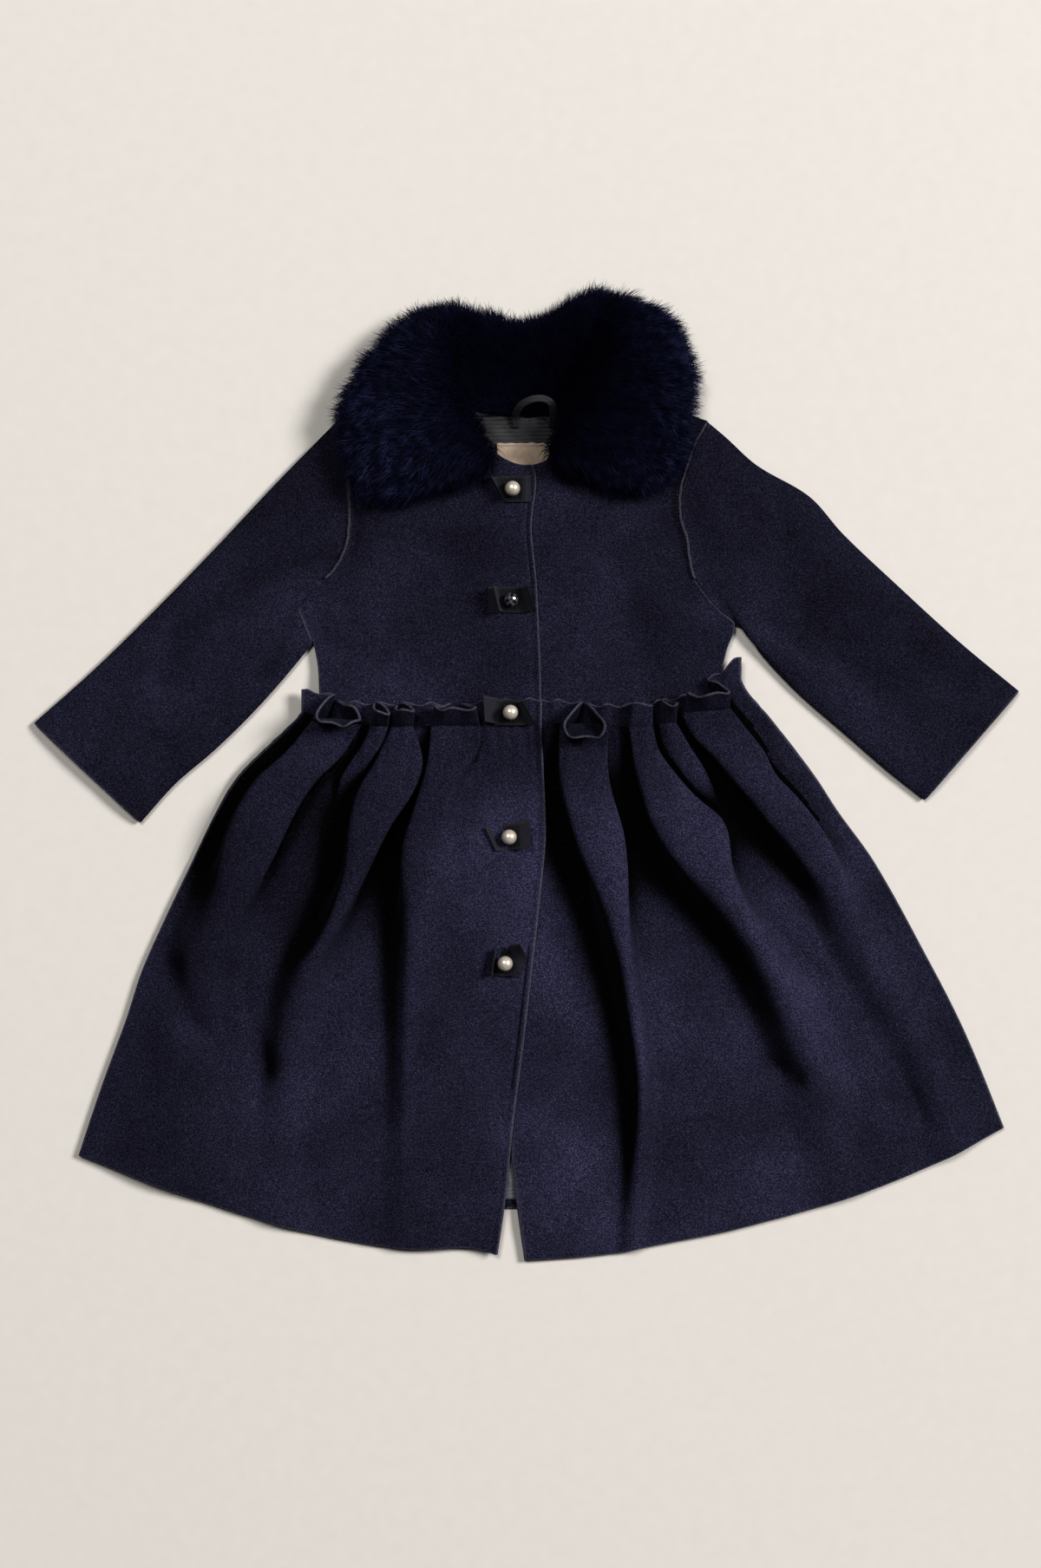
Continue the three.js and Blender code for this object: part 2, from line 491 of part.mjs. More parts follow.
// Sleeves: flattened tubes, flat below and crowned above, cut to the armhole at the top
const SLEEVE_STATIONS = [0, 0.02, 0.06, 0.13, 0.22, 0.32, 0.42, 0.52, 0.62, 0.72, 0.82, 0.92, 1];
const SLEEVE_EDGE = 3.6; // level of the fold along the sleeve's two edges
const SLEEVE_INSET = 6; // how far the inner face's folds lie inside those edges
const SLEEVE_OPENING = 0.4; // least room between the sleeve's upper and lower walls
const SLEEVE_SETBACK = 0.014; // share of the length by which the inner face starts beyond the armhole

function sleeve(table, armhole, side) {
  const a0 = table[0];
  const first = armhole[0].y;
  const last = a0.by;
  const at = (key, t) => read(table, "t", key, t);
  const plan = (s, t) => {
    const straight = [lerp(a0.ax, a0.bx, s), lerp(a0.ay, a0.by, s)];
    const seamY = lerp(first, last, s);
    const seam = [read(armhole, "y", "x", seamY) + side * ARMHOLE_GAP, seamY];
    const pull = (1 - t) ** 3;
    return [
      lerp(at("ax", t), at("bx", t), s) + (seam[0] - straight[0]) * pull,
      lerp(at("ay", t), at("by", t), s) + (seam[1] - straight[1]) * pull,
    ];
  };
  const upperLevel = (across, x, y, t) => {
    const full = Math.sqrt(1 - Math.abs(across) ** 3.2);
    const crease = relief(SLEEVE_CREASES, x, y) * smooth(0, 0.5, full) * smooth(0.04, 0.2, t);
    const free = SLEEVE_EDGE + (at("crown", t) - crease - SLEEVE_EDGE) * full;
    const sewn = Math.min(free, rightFrontLevel(x, y) - 0.2);
    return lerp(sewn, free, smooth(0.02, 0.14, t));
  };
  const ringOf = (t, inside) => {
    const width = Math.hypot(at("ax", t) - at("bx", t), at("ay", t) - at("by", t));
    const reach = inside ? 1 - (2 * SLEEVE_INSET) / width : 1;
    const ring = [];
    for (let i = 0; i < 2 * SLEEVE_HALF_COLUMNS; i += 1) {
      const across = -Math.cos((i / SLEEVE_HALF_COLUMNS) * Math.PI);
      const [x, y] = plan((across * reach + 1) / 2, inside ? lerp(SLEEVE_SETBACK, 1, t) : t);
      const flatness = Math.sqrt(1 - across ** 8);
      let lower = SLEEVE_EDGE * (1 - flatness);
      let upper = upperLevel(across * reach, x, y, t);
      if (inside) {
        const opened = Math.min(1, 2 * flatness);
        lower = lerp(SLEEVE_EDGE, SLEEVE_WALL, flatness);
        upper = lerp(SLEEVE_EDGE, upper - SLEEVE_WALL, opened);
        upper = Math.max(upper, lower + SLEEVE_OPENING * opened);
      }
      ring.push(new THREE.Vector3(x, y, i <= SLEEVE_HALF_COLUMNS ? upper : lower));
    }
    return side < 0 ? ring : ring.reverse();
  };
  const rows = SLEEVE_STATIONS.map((t) => ringOf(t, false));
  const innerRows = SLEEVE_STATIONS.map((t) => ringOf(t, true));
  return clothWall(rows, SLEEVE_WALL, { ring: true, innerRows });
}

// Skirt fronts
// Splits a front into plain stretches and folds, from its left edge to its right edge. Each runs between
// two lines, given by their x at a share v of the way to the hem.
function stretches(folds, ends) {
  const endLine = ({ side, path }) => ({ side, x: (v) => read(path, "v", "x", v) });
  const footOf = (fold, key, inward) => ({
    x: (v) => read(fold.path, "v", key, v) + inward * fold.undercut * fullness(v),
  });
  const list = [];
  let last = endLine(ends.left);
  const plain = (next) => {
    const steps = Math.max(2, 2 * Math.round((next.x(0) - last.x(0)) / PLAIN_STEP));
    const stand = last.side || next.side ? 0 : PLAIN_STAND;
    list.push({ from: last, to: next, steps, rise: () => 0, lean: 0, undercut: 0, stand });
  };
  for (const fold of folds) {
    const [from, to] = [footOf(fold, "left", 1), footOf(fold, "right", -1)];
    plain(from);
    list.push({ ...fold, from, to, rise: (v) => Math.max(0, read(fold.path, "v", "rise", v)) });
    last = to;
  }
  plain(endLine(ends.right));
  return list;
}

// How much of the undercut is left at v: the folds open out below the waist
const fullness = (v) => 1 - smooth(0, 0.5, v);

// Brings the outermost stretches onto the side seam and the front edge
function edgeShift(stretch, share, v, plan) {
  const shiftOf = (end) => {
    const y = lerp(read(WAIST_SEAM, "x", "y", end.x(0)), read(plan.hem, "x", "y", end.x(1)), v);
    return plan.edges[end.side](y) - end.x(v);
  };
  const left = stretch.from.side ? shiftOf(stretch.from) * (1 - smooth(0, 1, share)) : 0;
  const right = stretch.to.side ? shiftOf(stretch.to) * smooth(0, 1, share) : 0;
  return left + right;
}

// Upper face of the skirt fronts between the folds
const skirtLevel = (v) => lerp(WAIST_LEVEL, HEM_LEVEL, v ** 0.5);

const SWING_PEAK = 1.3; // greatest value of sin(a) (1 - cos(a))

// One point of a skirt front. v is 0 at the waist seam and 1 at the hem. above is the height over the
// seam on the frill. The fold's sides swing out beyond its feet, to the crest's width.
function skirtPoint(stretch, share, v, above, plan) {
  const angle = share * 2 * Math.PI;
  const swell = (1 - Math.cos(angle)) / 2;
  const place = (at) => lerp(stretch.from.x(at), stretch.to.x(at), share);
  const undercut = stretch.undercut * fullness(v);
  const ownWidth = stretch.to.x(v) - stretch.from.x(v);
  const swing = undercut + (ownWidth / 3) * smooth(0, stretch.undercut * 0.7, undercut);
  const lean = stretch.lean * swell * Math.exp(-((v / 0.08) ** 1.5)) * (1 + above / FRILL / 2);
  const aside = lean - (swing * Math.sin(angle) * (1 - Math.cos(angle))) / SWING_PEAK;
  const waistX = clamp(place(0), WAIST_SEAM[0].x, WAIST_SEAM[WAIST_SEAM.length - 1].x);
  const hemX = clamp(place(1), plan.hem[0].x, plan.hem[plan.hem.length - 1].x);
  const y = lerp(read(WAIST_SEAM, "x", "y", waistX), read(plan.hem, "x", "y", hemX), v);
  const x = place(v) + edgeShift(stretch, share, v, plan) + aside;
  const tip = radians(stretch.stand) * swell;
  const inward = Math.min(x - read(LEFT_SIDE, "y", "x", y), read(RIGHT_SIDE, "y", "x", y) - x);
  const lap = plan.lapRise(v) * lapped(x);
  const ground = skirtLevel(v) + lap;
  const fall = (ground - SEAM_LEVEL) * (1 - smooth(0, 20, inward)) * smooth(0.015, 0.09, v);
  const crease = relief(SKIRT_CREASES, x, y) * smooth(0.1, 0.3, v);
  const lowest = lerp(skirtLevel(v), SEAM_LEVEL, smooth(0.02, 0.3, v)) + lap;
  const level = Math.max(lowest, ground + stretch.rise(v) * swell - fall - crease);
  return new THREE.Vector3(x, y + above * Math.cos(tip), level + above * Math.sin(tip));
}

const FRILL_ROWS = [FRILL, FRILL / 2, 0];
const FINE_ROWS = [0.028, 0.065];
const COARSE_ROWS = [0.065, 0.12, 0.19, 0.28, 0.39, 0.52, 0.66, 0.82, 1];

function skirtFront(folds, ends, plan) {
  const list = stretches(folds, ends);
  const row = (v, above, stride) => {
    const points = [];
    let column = 0;
    list.forEach((stretch, k) => {
      const last = k === list.length - 1;
      for (let i = 0; i < stretch.steps + (last ? 1 : 0); i += 1) {
        if (column % stride === 0) {
          points.push(skirtPoint(stretch, i / stretch.steps, v, above, plan));
        }
        column += 1;
      }
    });
    return points;
  };
  const rows = [
    ...FRILL_ROWS.map((above) => row(0, above, 1)),
    ...FINE_ROWS.map((v) => row(v, 0, 1)),
    ...COARSE_ROWS.slice(1).map((v) => row(v, 0, 2)),
  ];
  return clothWall(rows, WOOL);
}

function skirtLeft() {
  return skirtFront(LEFT_FOLDS, LEFT_ENDS, {
    hem: LEFT_HEM,
    edges: { left: (y) => read(LEFT_SIDE, "y", "x", y), right: (y) => read(FRONT_EDGE, "y", "x", y) },
    lapRise: (v) => lerp(WAIST_LAP_RISE, LAP_RISE, smooth(0, 0.12, v)),
  });
}

function skirtRight() {
  return skirtFront(RIGHT_FOLDS, RIGHT_ENDS, {
    hem: RIGHT_HEM,
    edges: { left: (y) => read(UNDER_EDGE, "y", "x", y), right: (y) => read(RIGHT_SIDE, "y", "x", y) },
    lapRise: () => 0,
  });
}

// Skirt back: flat on the table, with pleats pressed into it from below
const BACK_COLUMNS = 32;
const BACK_ROWS = [0, 0.08, 0.2, 0.36, 0.55, 0.78, 1];

function pleatDepth(x, v) {
  let depth = 0;
  for (const pleat of BACK_PLEATS) {
    const centre = lerp(pleat.waist, pleat.hem, v);
    const width = pleat.width * (1 + v);
    depth = Math.max(depth, 1 - smooth(0, width * 0.5, Math.abs(x - centre)));
  }
  return depth * 1.4 * (1 - smooth(0.1, 0.85, v));
}

function skirtBack() {
  const row = (v, above) => {
    const points = [];
    for (let i = 0; i <= BACK_COLUMNS; i += 1) {
      const share = i / BACK_COLUMNS;
      const waistX = lerp(-164, 159, share);
      const hemX = lerp(-336, 357, share);
      const y = lerp(read(WAIST_SEAM, "x", "y", waistX), read(BACK_HEM, "x", "y", hemX), v);
      const leftX = read(LEFT_SIDE, "y", "x", lerp(50, -283, v));
      const rightX = read(RIGHT_SIDE, "y", "x", lerp(72, -262, v));
      const x = lerp(leftX, rightX, share);
      points.push(new THREE.Vector3(x, y + above, WOOL + pleatDepth(x, v)));
    }
    return points;
  };
  const rows = [row(0, FRILL), ...BACK_ROWS.map((v) => row(v, 0))];
  return clothWall(rows, WOOL, { straightDown: true });
}

// Fur collar: three rounded pads joined into one body
const PAD_AROUND = 30;
const PAD_RINGS = [0.4, 0.7, 0.9, 1];

function pad(outline, bottomAt, topAt) {
  const knots = outline.map(({ x, y }) => new THREE.Vector3(x, y, 0));
  const curve = new THREE.CatmullRomCurve3(knots, true, "centripetal");
  const rim = curve.getSpacedPoints(PAD_AROUND).slice(0, PAD_AROUND);
  const centre = rim.reduce((sum, p) => sum.add(p), new THREE.Vector3()).divideScalar(PAD_AROUND);
  const turning = rim.reduce((sum, p, i) => {
    const q = rim[(i + 1) % PAD_AROUND];
    return sum + (p.x - centre.x) * (q.y - centre.y) - (q.x - centre.x) * (p.y - centre.y);
  }, 0);
  const around = turning > 0 ? rim : [...rim].reverse();
  const points = [];
  const faces = [];
  const ringOf = (r, upper) => around.map((p) => {
    const x = lerp(centre.x, p.x, r);
    const y = lerp(centre.y, p.y, r);
    const top = topAt(x, y);
    const bottom = bottomAt(x, y);
    const middle = lerp(bottom, top, 0.42);
    const roundTop = Math.sqrt(Math.max(0, 1 - r ** 3.4));
    const roundBottom = Math.sqrt(Math.max(0, 1 - r ** 7));
    const z = upper ? middle + (top - middle) * roundTop : middle + (bottom - middle) * roundBottom;
    points.push(new THREE.Vector3(x, y, z));
    return points.length - 1;
  });
  const band = (a, b, flip) => {
    for (let i = 0; i < PAD_AROUND; i += 1) {
      const j = (i + 1) % PAD_AROUND;
      faces.push(...(flip ? [a[i], b[j], b[i], a[i], a[j], b[j]] : [a[i], b[i], b[j], a[i], b[j], a[j]]));
    }
  };
  const cap = (ring, z, upper) => {
    points.push(new THREE.Vector3(centre.x, centre.y, z));
    const tip = points.length - 1;
    for (let i = 0; i < PAD_AROUND; i += 1) {
      const j = (i + 1) % PAD_AROUND;
      faces.push(...(upper ? [tip, ring[i], ring[j]] : [tip, ring[j], ring[i]]));
    }
  };
  const upperRings = PAD_RINGS.map((r) => ringOf(r, true));
  const lowerRings = PAD_RINGS.slice(0, -1).map((r) => ringOf(r, false));
  lowerRings.push(upperRings[upperRings.length - 1]);
  cap(upperRings[0], topAt(centre.x, centre.y), true);
  cap(lowerRings[0], bottomAt(centre.x, centre.y), false);
  for (let k = 0; k + 1 < PAD_RINGS.length; k += 1) {
    band(upperRings[k], upperRings[k + 1], false);
    band(lowerRings[k], lowerRings[k + 1], true);
  }
  return geometryFrom(points, faces);
}

function toManifold(geometry) {
  const merged = BufferGeometryUtils.mergeVertices(geometry, 1e-4);
  return new wasm.Manifold(new wasm.Mesh({
    numProp: 3,
    vertProperties: new Float32Array(merged.attributes.position.array),
    triVerts: new Uint32Array(merged.index.array),
  }));
}

function fromManifold(solid) {
  const mesh = solid.getMesh();
  const geometry = new THREE.BufferGeometry();
  geometry.setAttribute("position", new THREE.Float32BufferAttribute(mesh.vertProperties, 3));
  geometry.setIndex([...mesh.triVerts]);
  return geometry;
}

function furCollar() {
  // The leaves lie on the fronts, and beyond the shoulders on the part behind the neck
  const leafBottom = (x, y) => {
    const onFront = leftFrontLevel(Math.min(x, -19), 210) + 0.8 + 2.4 * smooth(100, 128, Math.abs(x));
    return lerp(x < 0 ? onFront : BODICE_TOP + 0.8 + 2.4 * smooth(100, 120, x), 4, smooth(298, 314, y));
  };
  const leafTop = (x, y) => BODICE_TOP + LEAF_HEIGHT - 5 * smooth(240, 200, y) - 3 * smooth(300, 360, y);
  const backTop = (x, y) => 10 + (COLLAR_BACK_HEIGHT - 10) * smooth(280, 340, y);
  const left = pad(LEFT_LEAF, leafBottom, leafTop);
  const right = pad(RIGHT_LEAF, leafBottom, leafTop);
  const back = pad(COLLAR_BACK, () => 0, backTop);
  const solids = [left, right, back].map(toManifold);
  return fromManifold(solids[0].add(solids[1]).add(solids[2]));
}

// Lining, label and hanging loop inside the back neck, and the lining that shows in the front slit
function flatPatch({ left, right, topY, bottomY, level, columns, thickness }) {
  const rows = [0, 0.5, 1].map((v) => {
    const row = [];
    for (let i = 0; i <= columns; i += 1) {
      const x = lerp(left, right, i / columns);
      row.push(new THREE.Vector3(x, lerp(topY(x), bottomY, v), level + thickness));
    }
    return row;
  });
  return clothWall(rows, thickness, { straightDown: true });
}

const neckLining = () => flatPatch({
  left: -44, right: 44, topY: (x) => read(BACK_NECK, "x", "y", Math.abs(x)) - 2, bottomY: 222,
  level: WOOL + SEAM_GAP, columns: 10, thickness: SATIN,
});
const neckLabel = () => flatPatch({
  left: -22, right: 22, topY: () => 250, bottomY: 226,
  level: WOOL + SEAM_GAP + SATIN + SEAM_GAP, columns: 4, thickness: 0.7,
});
const skirtLining = () => flatPatch({
  left: -40, right: 28, topY: () => -250, bottomY: -318,
  level: WOOL + SEAM_GAP, columns: 6, thickness: 0.45,
});

// A flat band swept along a path. The band's width lies along `across` at each point.
function band(path, width, thickness) {
  const rows = path.map(({ at, across, up }) => {
    const half = across.clone().multiplyScalar(width / 2);
    const lift = up.clone().multiplyScalar(thickness);
    return [
      at.clone().sub(half).add(lift), at.clone().add(half).add(lift),
      at.clone().add(half), at.clone().sub(half),
    ];
  });
  const points = rows.flat();
  const faces = [];
  for (let i = 0; i + 1 < rows.length; i += 1) {
    for (let k = 0; k < 4; k += 1) {
      const [a, b] = [4 * i + k, 4 * i + ((k + 1) % 4)];
      faces.push(a, b + 4, b, a, a + 4, b + 4);
    }
  }
  const end = 4 * (rows.length - 1);
  faces.push(0, 1, 2, 0, 2, 3, end, end + 2, end + 1, end, end + 3, end + 2);
  return geometryFrom(points, faces);
}

function hangingLoop() {
  const rail = new THREE.CatmullRomCurve3([
    [-8, 262], [-8.5, 270], [-5, 277], [3, 281.5], [12, 282.5], [18.5, 279], [20, 271], [19, 262],
  ].map(([x, y]) => new THREE.Vector3(x, y, 0)));
  const path = rail.getSpacedPoints(14).map((p, i) => {
    const tangent = rail.getTangentAt(i / 14);
    const level = 3.3 + 10 * smooth(264, 281, p.y);
    return {
      at: new THREE.Vector3(p.x, p.y, level),
      across: new THREE.Vector3(-tangent.y, tangent.x, 0),
      up: new THREE.Vector3(0, 0, 1),
    };
  });
  return band(path, 5, SATIN);
}

// Raised raw edges of the armhole seams
function armholeSeam(armhole, inward) {
  const path = [];
  for (let i = 0; i <= 16; i += 1) {
    const y = lerp(264, 148, i / 16);
    const slope = (read(armhole, "y", "x", y - 1) - read(armhole, "y", "x", y + 1)) / 2;
    const x = read(armhole, "y", "x", y);
    path.push({
      at: new THREE.Vector3(x, y, rightFrontLevel(x + inward, y) + SEAM_GAP),
      across: new THREE.Vector3(1, slope, 0).normalize(),
      up: new THREE.Vector3(0, 0, 1),
    });
  }
  return band(path, 2.2, 1.6);
}

// Ribbon bow: two arms from under the ball, each flat at first and then lifting
function bowArm(arm, direction) {
  const path = [];
  const steps = 7;
  const turn = radians(arm.turn);
  let along = 0;
  let height = 0;
  for (let i = 1; i <= steps; i += 1) {
    const reach = (arm.reach * i) / steps;
    const lift = radians(arm.lift) * smooth(arm.flat, arm.flat + 4, reach);
    along += (arm.reach / steps) * Math.cos(lift);
    height += (arm.reach / steps) * Math.sin(lift);
    path.push({
      at: new THREE.Vector3(direction * along * Math.cos(turn), along * Math.sin(turn), height),
      across: new THREE.Vector3(0, 1, 0),
      up: new THREE.Vector3(-direction * Math.sin(lift), 0, Math.cos(lift)),
    });
  }
  return path;
}

function bow({ left, right }) {
  const middle = {
    at: new THREE.Vector3(0, 0, 0), across: new THREE.Vector3(0, 1, 0), up: new THREE.Vector3(0, 0, 1),
  };
  return band([...bowArm(left, -1).reverse(), middle, ...bowArm(right, 1)], RIBBON_WIDTH, RIBBON);
}

function ball(radius) {
  const sunk = 0.8; // the ball's underside is flat where its shank is sewn down
  const profile = [new THREE.Vector2(0, 0)];
  const first = -Math.asin(sunk);
  for (let i = 0; i <= 7; i += 1) {
    const angle = lerp(first, Math.PI / 2, i / 7);
    const out = i === 7 ? 0 : radius * Math.cos(angle);
    profile.push(new THREE.Vector2(out, radius * (Math.sin(angle) + sunk)));
  }
  const geometry = new THREE.LatheGeometry(profile, 14);
  geometry.deleteAttribute("normal");
  geometry.deleteAttribute("uv");
  return BufferGeometryUtils.mergeVertices(geometry.rotateX(Math.PI / 2), 1e-4);
}

const coat = new THREE.Group();

function piece(name, geometry, finish, place = [0, 0, 0]) {
  const mesh = new THREE.Mesh(geometry, new THREE.MeshStandardMaterial(COLOURS[finish]));
  mesh.name = name;
  mesh.position.set(...place);
  coat.add(mesh);
  return mesh;
}

piece("bodice_back", bodiceBack(), "wool");
piece("bodice_front_left", bodiceLeft(), "wool");
piece("bodice_front_right", bodiceRight(), "wool");
piece("sleeve_left", sleeve(LEFT_SLEEVE, LEFT_ARMHOLE, -1), "wool");
piece("sleeve_right", sleeve(RIGHT_SLEEVE, RIGHT_ARMHOLE, 1), "wool");
piece("skirt_back", skirtBack(), "wool");
piece("skirt_front_left", skirtLeft(), "wool");
piece("skirt_front_right", skirtRight(), "wool");
piece("fur_collar", furCollar(), "fur");
piece("neck_lining", neckLining(), "satin");
piece("neck_label", neckLabel(), "label");
piece("hanging_loop", hangingLoop(), "satin");
piece("skirt_lining", skirtLining(), "lining_grey");
piece("armhole_seam_left", armholeSeam(LEFT_ARMHOLE, 1), "wool");
piece("armhole_seam_right", armholeSeam(RIGHT_ARMHOLE, -1), "wool");

// Level of the left front under each bow
function bowLevel({ x, y }) {
  const seam = read(WAIST_SEAM, "x", "y", x);
  if (y > seam + FRILL) {
    return leftFrontLevel(x, y);
  }
  const v = clamp((seam - y) / (seam - read(LEFT_HEM, "x", "y", -40)), 0, 1);
  return skirtLevel(v) + lerp(WAIST_LAP_RISE, LAP_RISE, smooth(0, 0.12, v));
}

BOWS.forEach((row, i) => {
  const level = bowLevel(row) + SEAM_GAP;
  const radius = i === STONE_BALL ? STONE_BALL_RADIUS : BALL_RADIUS;
  const finish = i === STONE_BALL ? "stone_ball" : "metal";
  piece(`bow_${i + 1}`, bow(row), "ribbon", [row.x, row.y, level]);
  piece(`button_${i + 1}`, ball(radius), finish, [row.x, row.y, level + RIBBON + SEAM_GAP]);
});

export default coat;
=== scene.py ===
import math

import bpy
import numpy as np
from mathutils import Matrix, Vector


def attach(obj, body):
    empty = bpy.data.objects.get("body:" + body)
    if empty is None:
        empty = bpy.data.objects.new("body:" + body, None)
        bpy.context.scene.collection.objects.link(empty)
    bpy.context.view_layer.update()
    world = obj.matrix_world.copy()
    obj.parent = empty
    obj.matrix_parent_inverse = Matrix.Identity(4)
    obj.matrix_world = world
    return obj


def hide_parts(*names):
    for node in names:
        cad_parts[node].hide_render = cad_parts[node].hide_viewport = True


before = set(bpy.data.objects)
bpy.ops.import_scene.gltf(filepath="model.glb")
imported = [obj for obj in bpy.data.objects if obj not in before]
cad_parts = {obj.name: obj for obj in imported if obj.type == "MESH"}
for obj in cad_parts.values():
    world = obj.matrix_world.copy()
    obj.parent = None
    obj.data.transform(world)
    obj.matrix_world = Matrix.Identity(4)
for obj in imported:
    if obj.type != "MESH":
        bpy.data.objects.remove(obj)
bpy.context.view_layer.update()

MM = 0.001

# Driving sizes
WOOL = 2.0  # thickness of the cloth
SLEEVE_WALL = 3.0
SEAM_GAP = 0.3
FRILL = 17  # how far the skirt's raw top edge stands above the waist seam
SEAM_TUCK = 2  # how far the bodice goes down past the waist seam's line
LAP_X = -5  # edge of the right front, under the lap
ARMHOLE_GAP = 0.32  # between a bodice panel or a sleeve and the armhole's seam line
BODICE_TOP = 7.6
WAIST_LEVEL = 10.7
SEAM_LEVEL = 4.7
HEM_LEVEL = 5.0
LAP_RISE = 2.6
WAIST_LAP_RISE = 5.0
SHOULDER_Y = 266
NECK_Y = 233  # upper end of the front edge
SIDE_FOOT = 60  # y near which the bodice's sides meet the waist seam
SIDE_ROWS, ARM_ROWS = 16, 12  # steps down a bodice's side, and those of them beside the sleeve
SLEEVE_EDGE = 3.6
SATIN = 0.7
LABEL_CLOTH = 0.7
GREY_CLOTH = 0.45
RIBBON = 1.0
RIBBON_WIDTH = 20
RIBBON_COLUMNS = 15
BALL_RADIUS = 5.8
STONE_BALL_RADIUS = 4.6
BALL_FOOT = 0.8  # height of a ball's middle over its flat foot, in radii
PILE = 13.0
LOCKS = 21000  # on each of the collar's three pads


def table(columns, *rows):
    """A table with named columns, held as one array for each column."""
    return dict(zip(columns.split(), np.array(rows, float).T))


LEFT_SIDE = table(
    "y x",
    (50, -166), (39, -176), (26, -190), (0, -216), (-26, -232),
    (-65, -251), (-143, -287), (-182, -300), (-234, -319), (-285, -336),
)
RIGHT_SIDE = table(
    "y x",
    (77, 158), (65, 164), (39, 186), (0, 216), (-26, 233),
    (-65, 261), (-143, 304), (-182, 324), (-221, 341), (-264, 358),
)
LEFT_HEM = table(
    "x y",
    (-336, -285), (-265, -312), (-183, -338), (-121, -351), (-83, -355), (-44, -354), (-22, -359),
)
RIGHT_HEM = table(
    "x y",
    (-1, -364), (60, -359), (103, -351), (162, -339), (252, -313), (315, -287), (358, -264),
)
BACK_HEM = table("x y", (-336, -283), (-200, -312), (-14, -325), (200, -310), (357, -262))
WAIST_SEAM = table(
    "x y",
    (-170, 49), (-134, 39), (-90, 37), (-33, 38), (8, 40), (60, 36), (93, 38), (125, 46), (146, 58),
    (160, 72),
)
FRONT_EDGE = table(
    "y x",
    (233, 4), (226, 6.5), (214, 6.5), (200, 4.5), (185, 3.3), (146, 7), (88, 9.8), (40, 11),
    (-42, 14.3), (-75, 11.7), (-144, 4.2), (-208, -3.3), (-263, -10.4), (-315, -15.6), (-359, -22),
)
UNDER_EDGE = table(
    "y x",
    (233, LAP_X), (40, LAP_X), (-144, -14), (-263, -12.5), (-290, -10.5), (-325, -6.5), (-364, -1),
)
LEFT_ARMHOLE = table(
    "y x",
    (266, -143), (254, -140), (226, -134), (204, -133), (180, -134), (166, -138), (152, -147),
    (142, -159), (130, -170), (116, -166), (100, -160), (78, -156), (30, -155),
)
RIGHT_ARMHOLE = table(
    "y x",
    (266, 136), (251, 127), (236, 121.5), (218, 116), (205, 115), (192, 116), (180, 120), (166, 122),
    (151, 125), (138, 133), (124, 145), (114, 156), (94, 150), (68, 144.5), (30, 142),
)
FRONT_NECK = table("x y", (4, 233), (11, 235), (21, 240.5), (38, 252), (56, 271), (68, 290))
BACK_NECK = table("x y", (0, 271), (30, 274), (52, 281), (68, 290))
LEFT_SLEEVE = table(
    "t ax ay bx by crown",
    (0, -143, 266, -160, 100, 8.2),
    (0.2, -190, 218, -186, 69, 9.8),
    (0.4, -236, 169, -210, 43, 9.8),
    (0.6, -280, 124, -236, 18, 9.6),
    (0.8, -325, 80, -264, -6, 9),
    (1, -369.9, 40, -290, -35, 8),
)
RIGHT_SLEEVE = table(
    "t ax ay bx by crown",
    (0, 137, 266, 156, 114, 8.2),
    (0.05, 150, 255, 163.5, 110, 8.8),
    (0.14, 173, 234, 175, 93, 9.6),
    (0.3, 213, 210, 195, 71, 9.9),
    (0.42, 238, 182, 212, 55, 9.8),
    (0.6, 277, 145, 240, 31, 9.5),
    (0.8, 324, 102, 270, 5, 9),
    (1, 369.9, 64, 299, -18, 8),
)

# Folds of the skirt fronts: the two sides of each crest and its height at shares v of the way to the hem
LEFT_FOLDS = [
    dict(undercut=10, lean=3, stand=104, path=table(
        "v left right rise",
        (0, -162, -124, 11), (0.07, -181, -139, 12), (0.13, -204, -160, 12.5), (0.21, -222, -178, 12),
        (0.32, -242, -190, 10.5), (0.45, -262, -204, 8), (0.56, -278, -219, 6), (0.7, -296, -222, 5),
        (1, -328, -236, 3.5),
    )),
    dict(undercut=3, lean=6, stand=63, path=table(
        "v left right rise",
        (0, -121, -107.5, 10), (0.04, -126, -112, 8), (0.1, -139, -125, 4), (0.2, -154, -145, 0),
        (0.45, -193, -186, 0), (0.7, -215, -210, 0), (1, -226, -220, 0),
    )),
    dict(undercut=4, lean=6, stand=53, path=table(
        "v left right rise",
        (0, -105, -89, 10), (0.07, -115, -80, 10), (0.13, -128, -87, 10.5), (0.2, -135, -104, 11),
        (0.3, -143, -119, 11), (0.4, -162, -134, 10), (0.5, -188, -146, 7.5), (0.7, -203, -156, 5),
        (1, -212, -160, 2.5),
    )),
    dict(undercut=6, lean=0, stand=47, runs_out=True, path=table(
        "v left right rise",
        (0, -71, -35, 8), (0.07, -74, -34, 9.5), (0.15, -83, -40, 10.5), (0.25, -96, -44, 10.5),
        (0.35, -105, -50, 10), (0.45, -109, -60, 8.5), (0.6, -108, -68, 5.5), (1, -112, -74, 2.5),
    )),
]
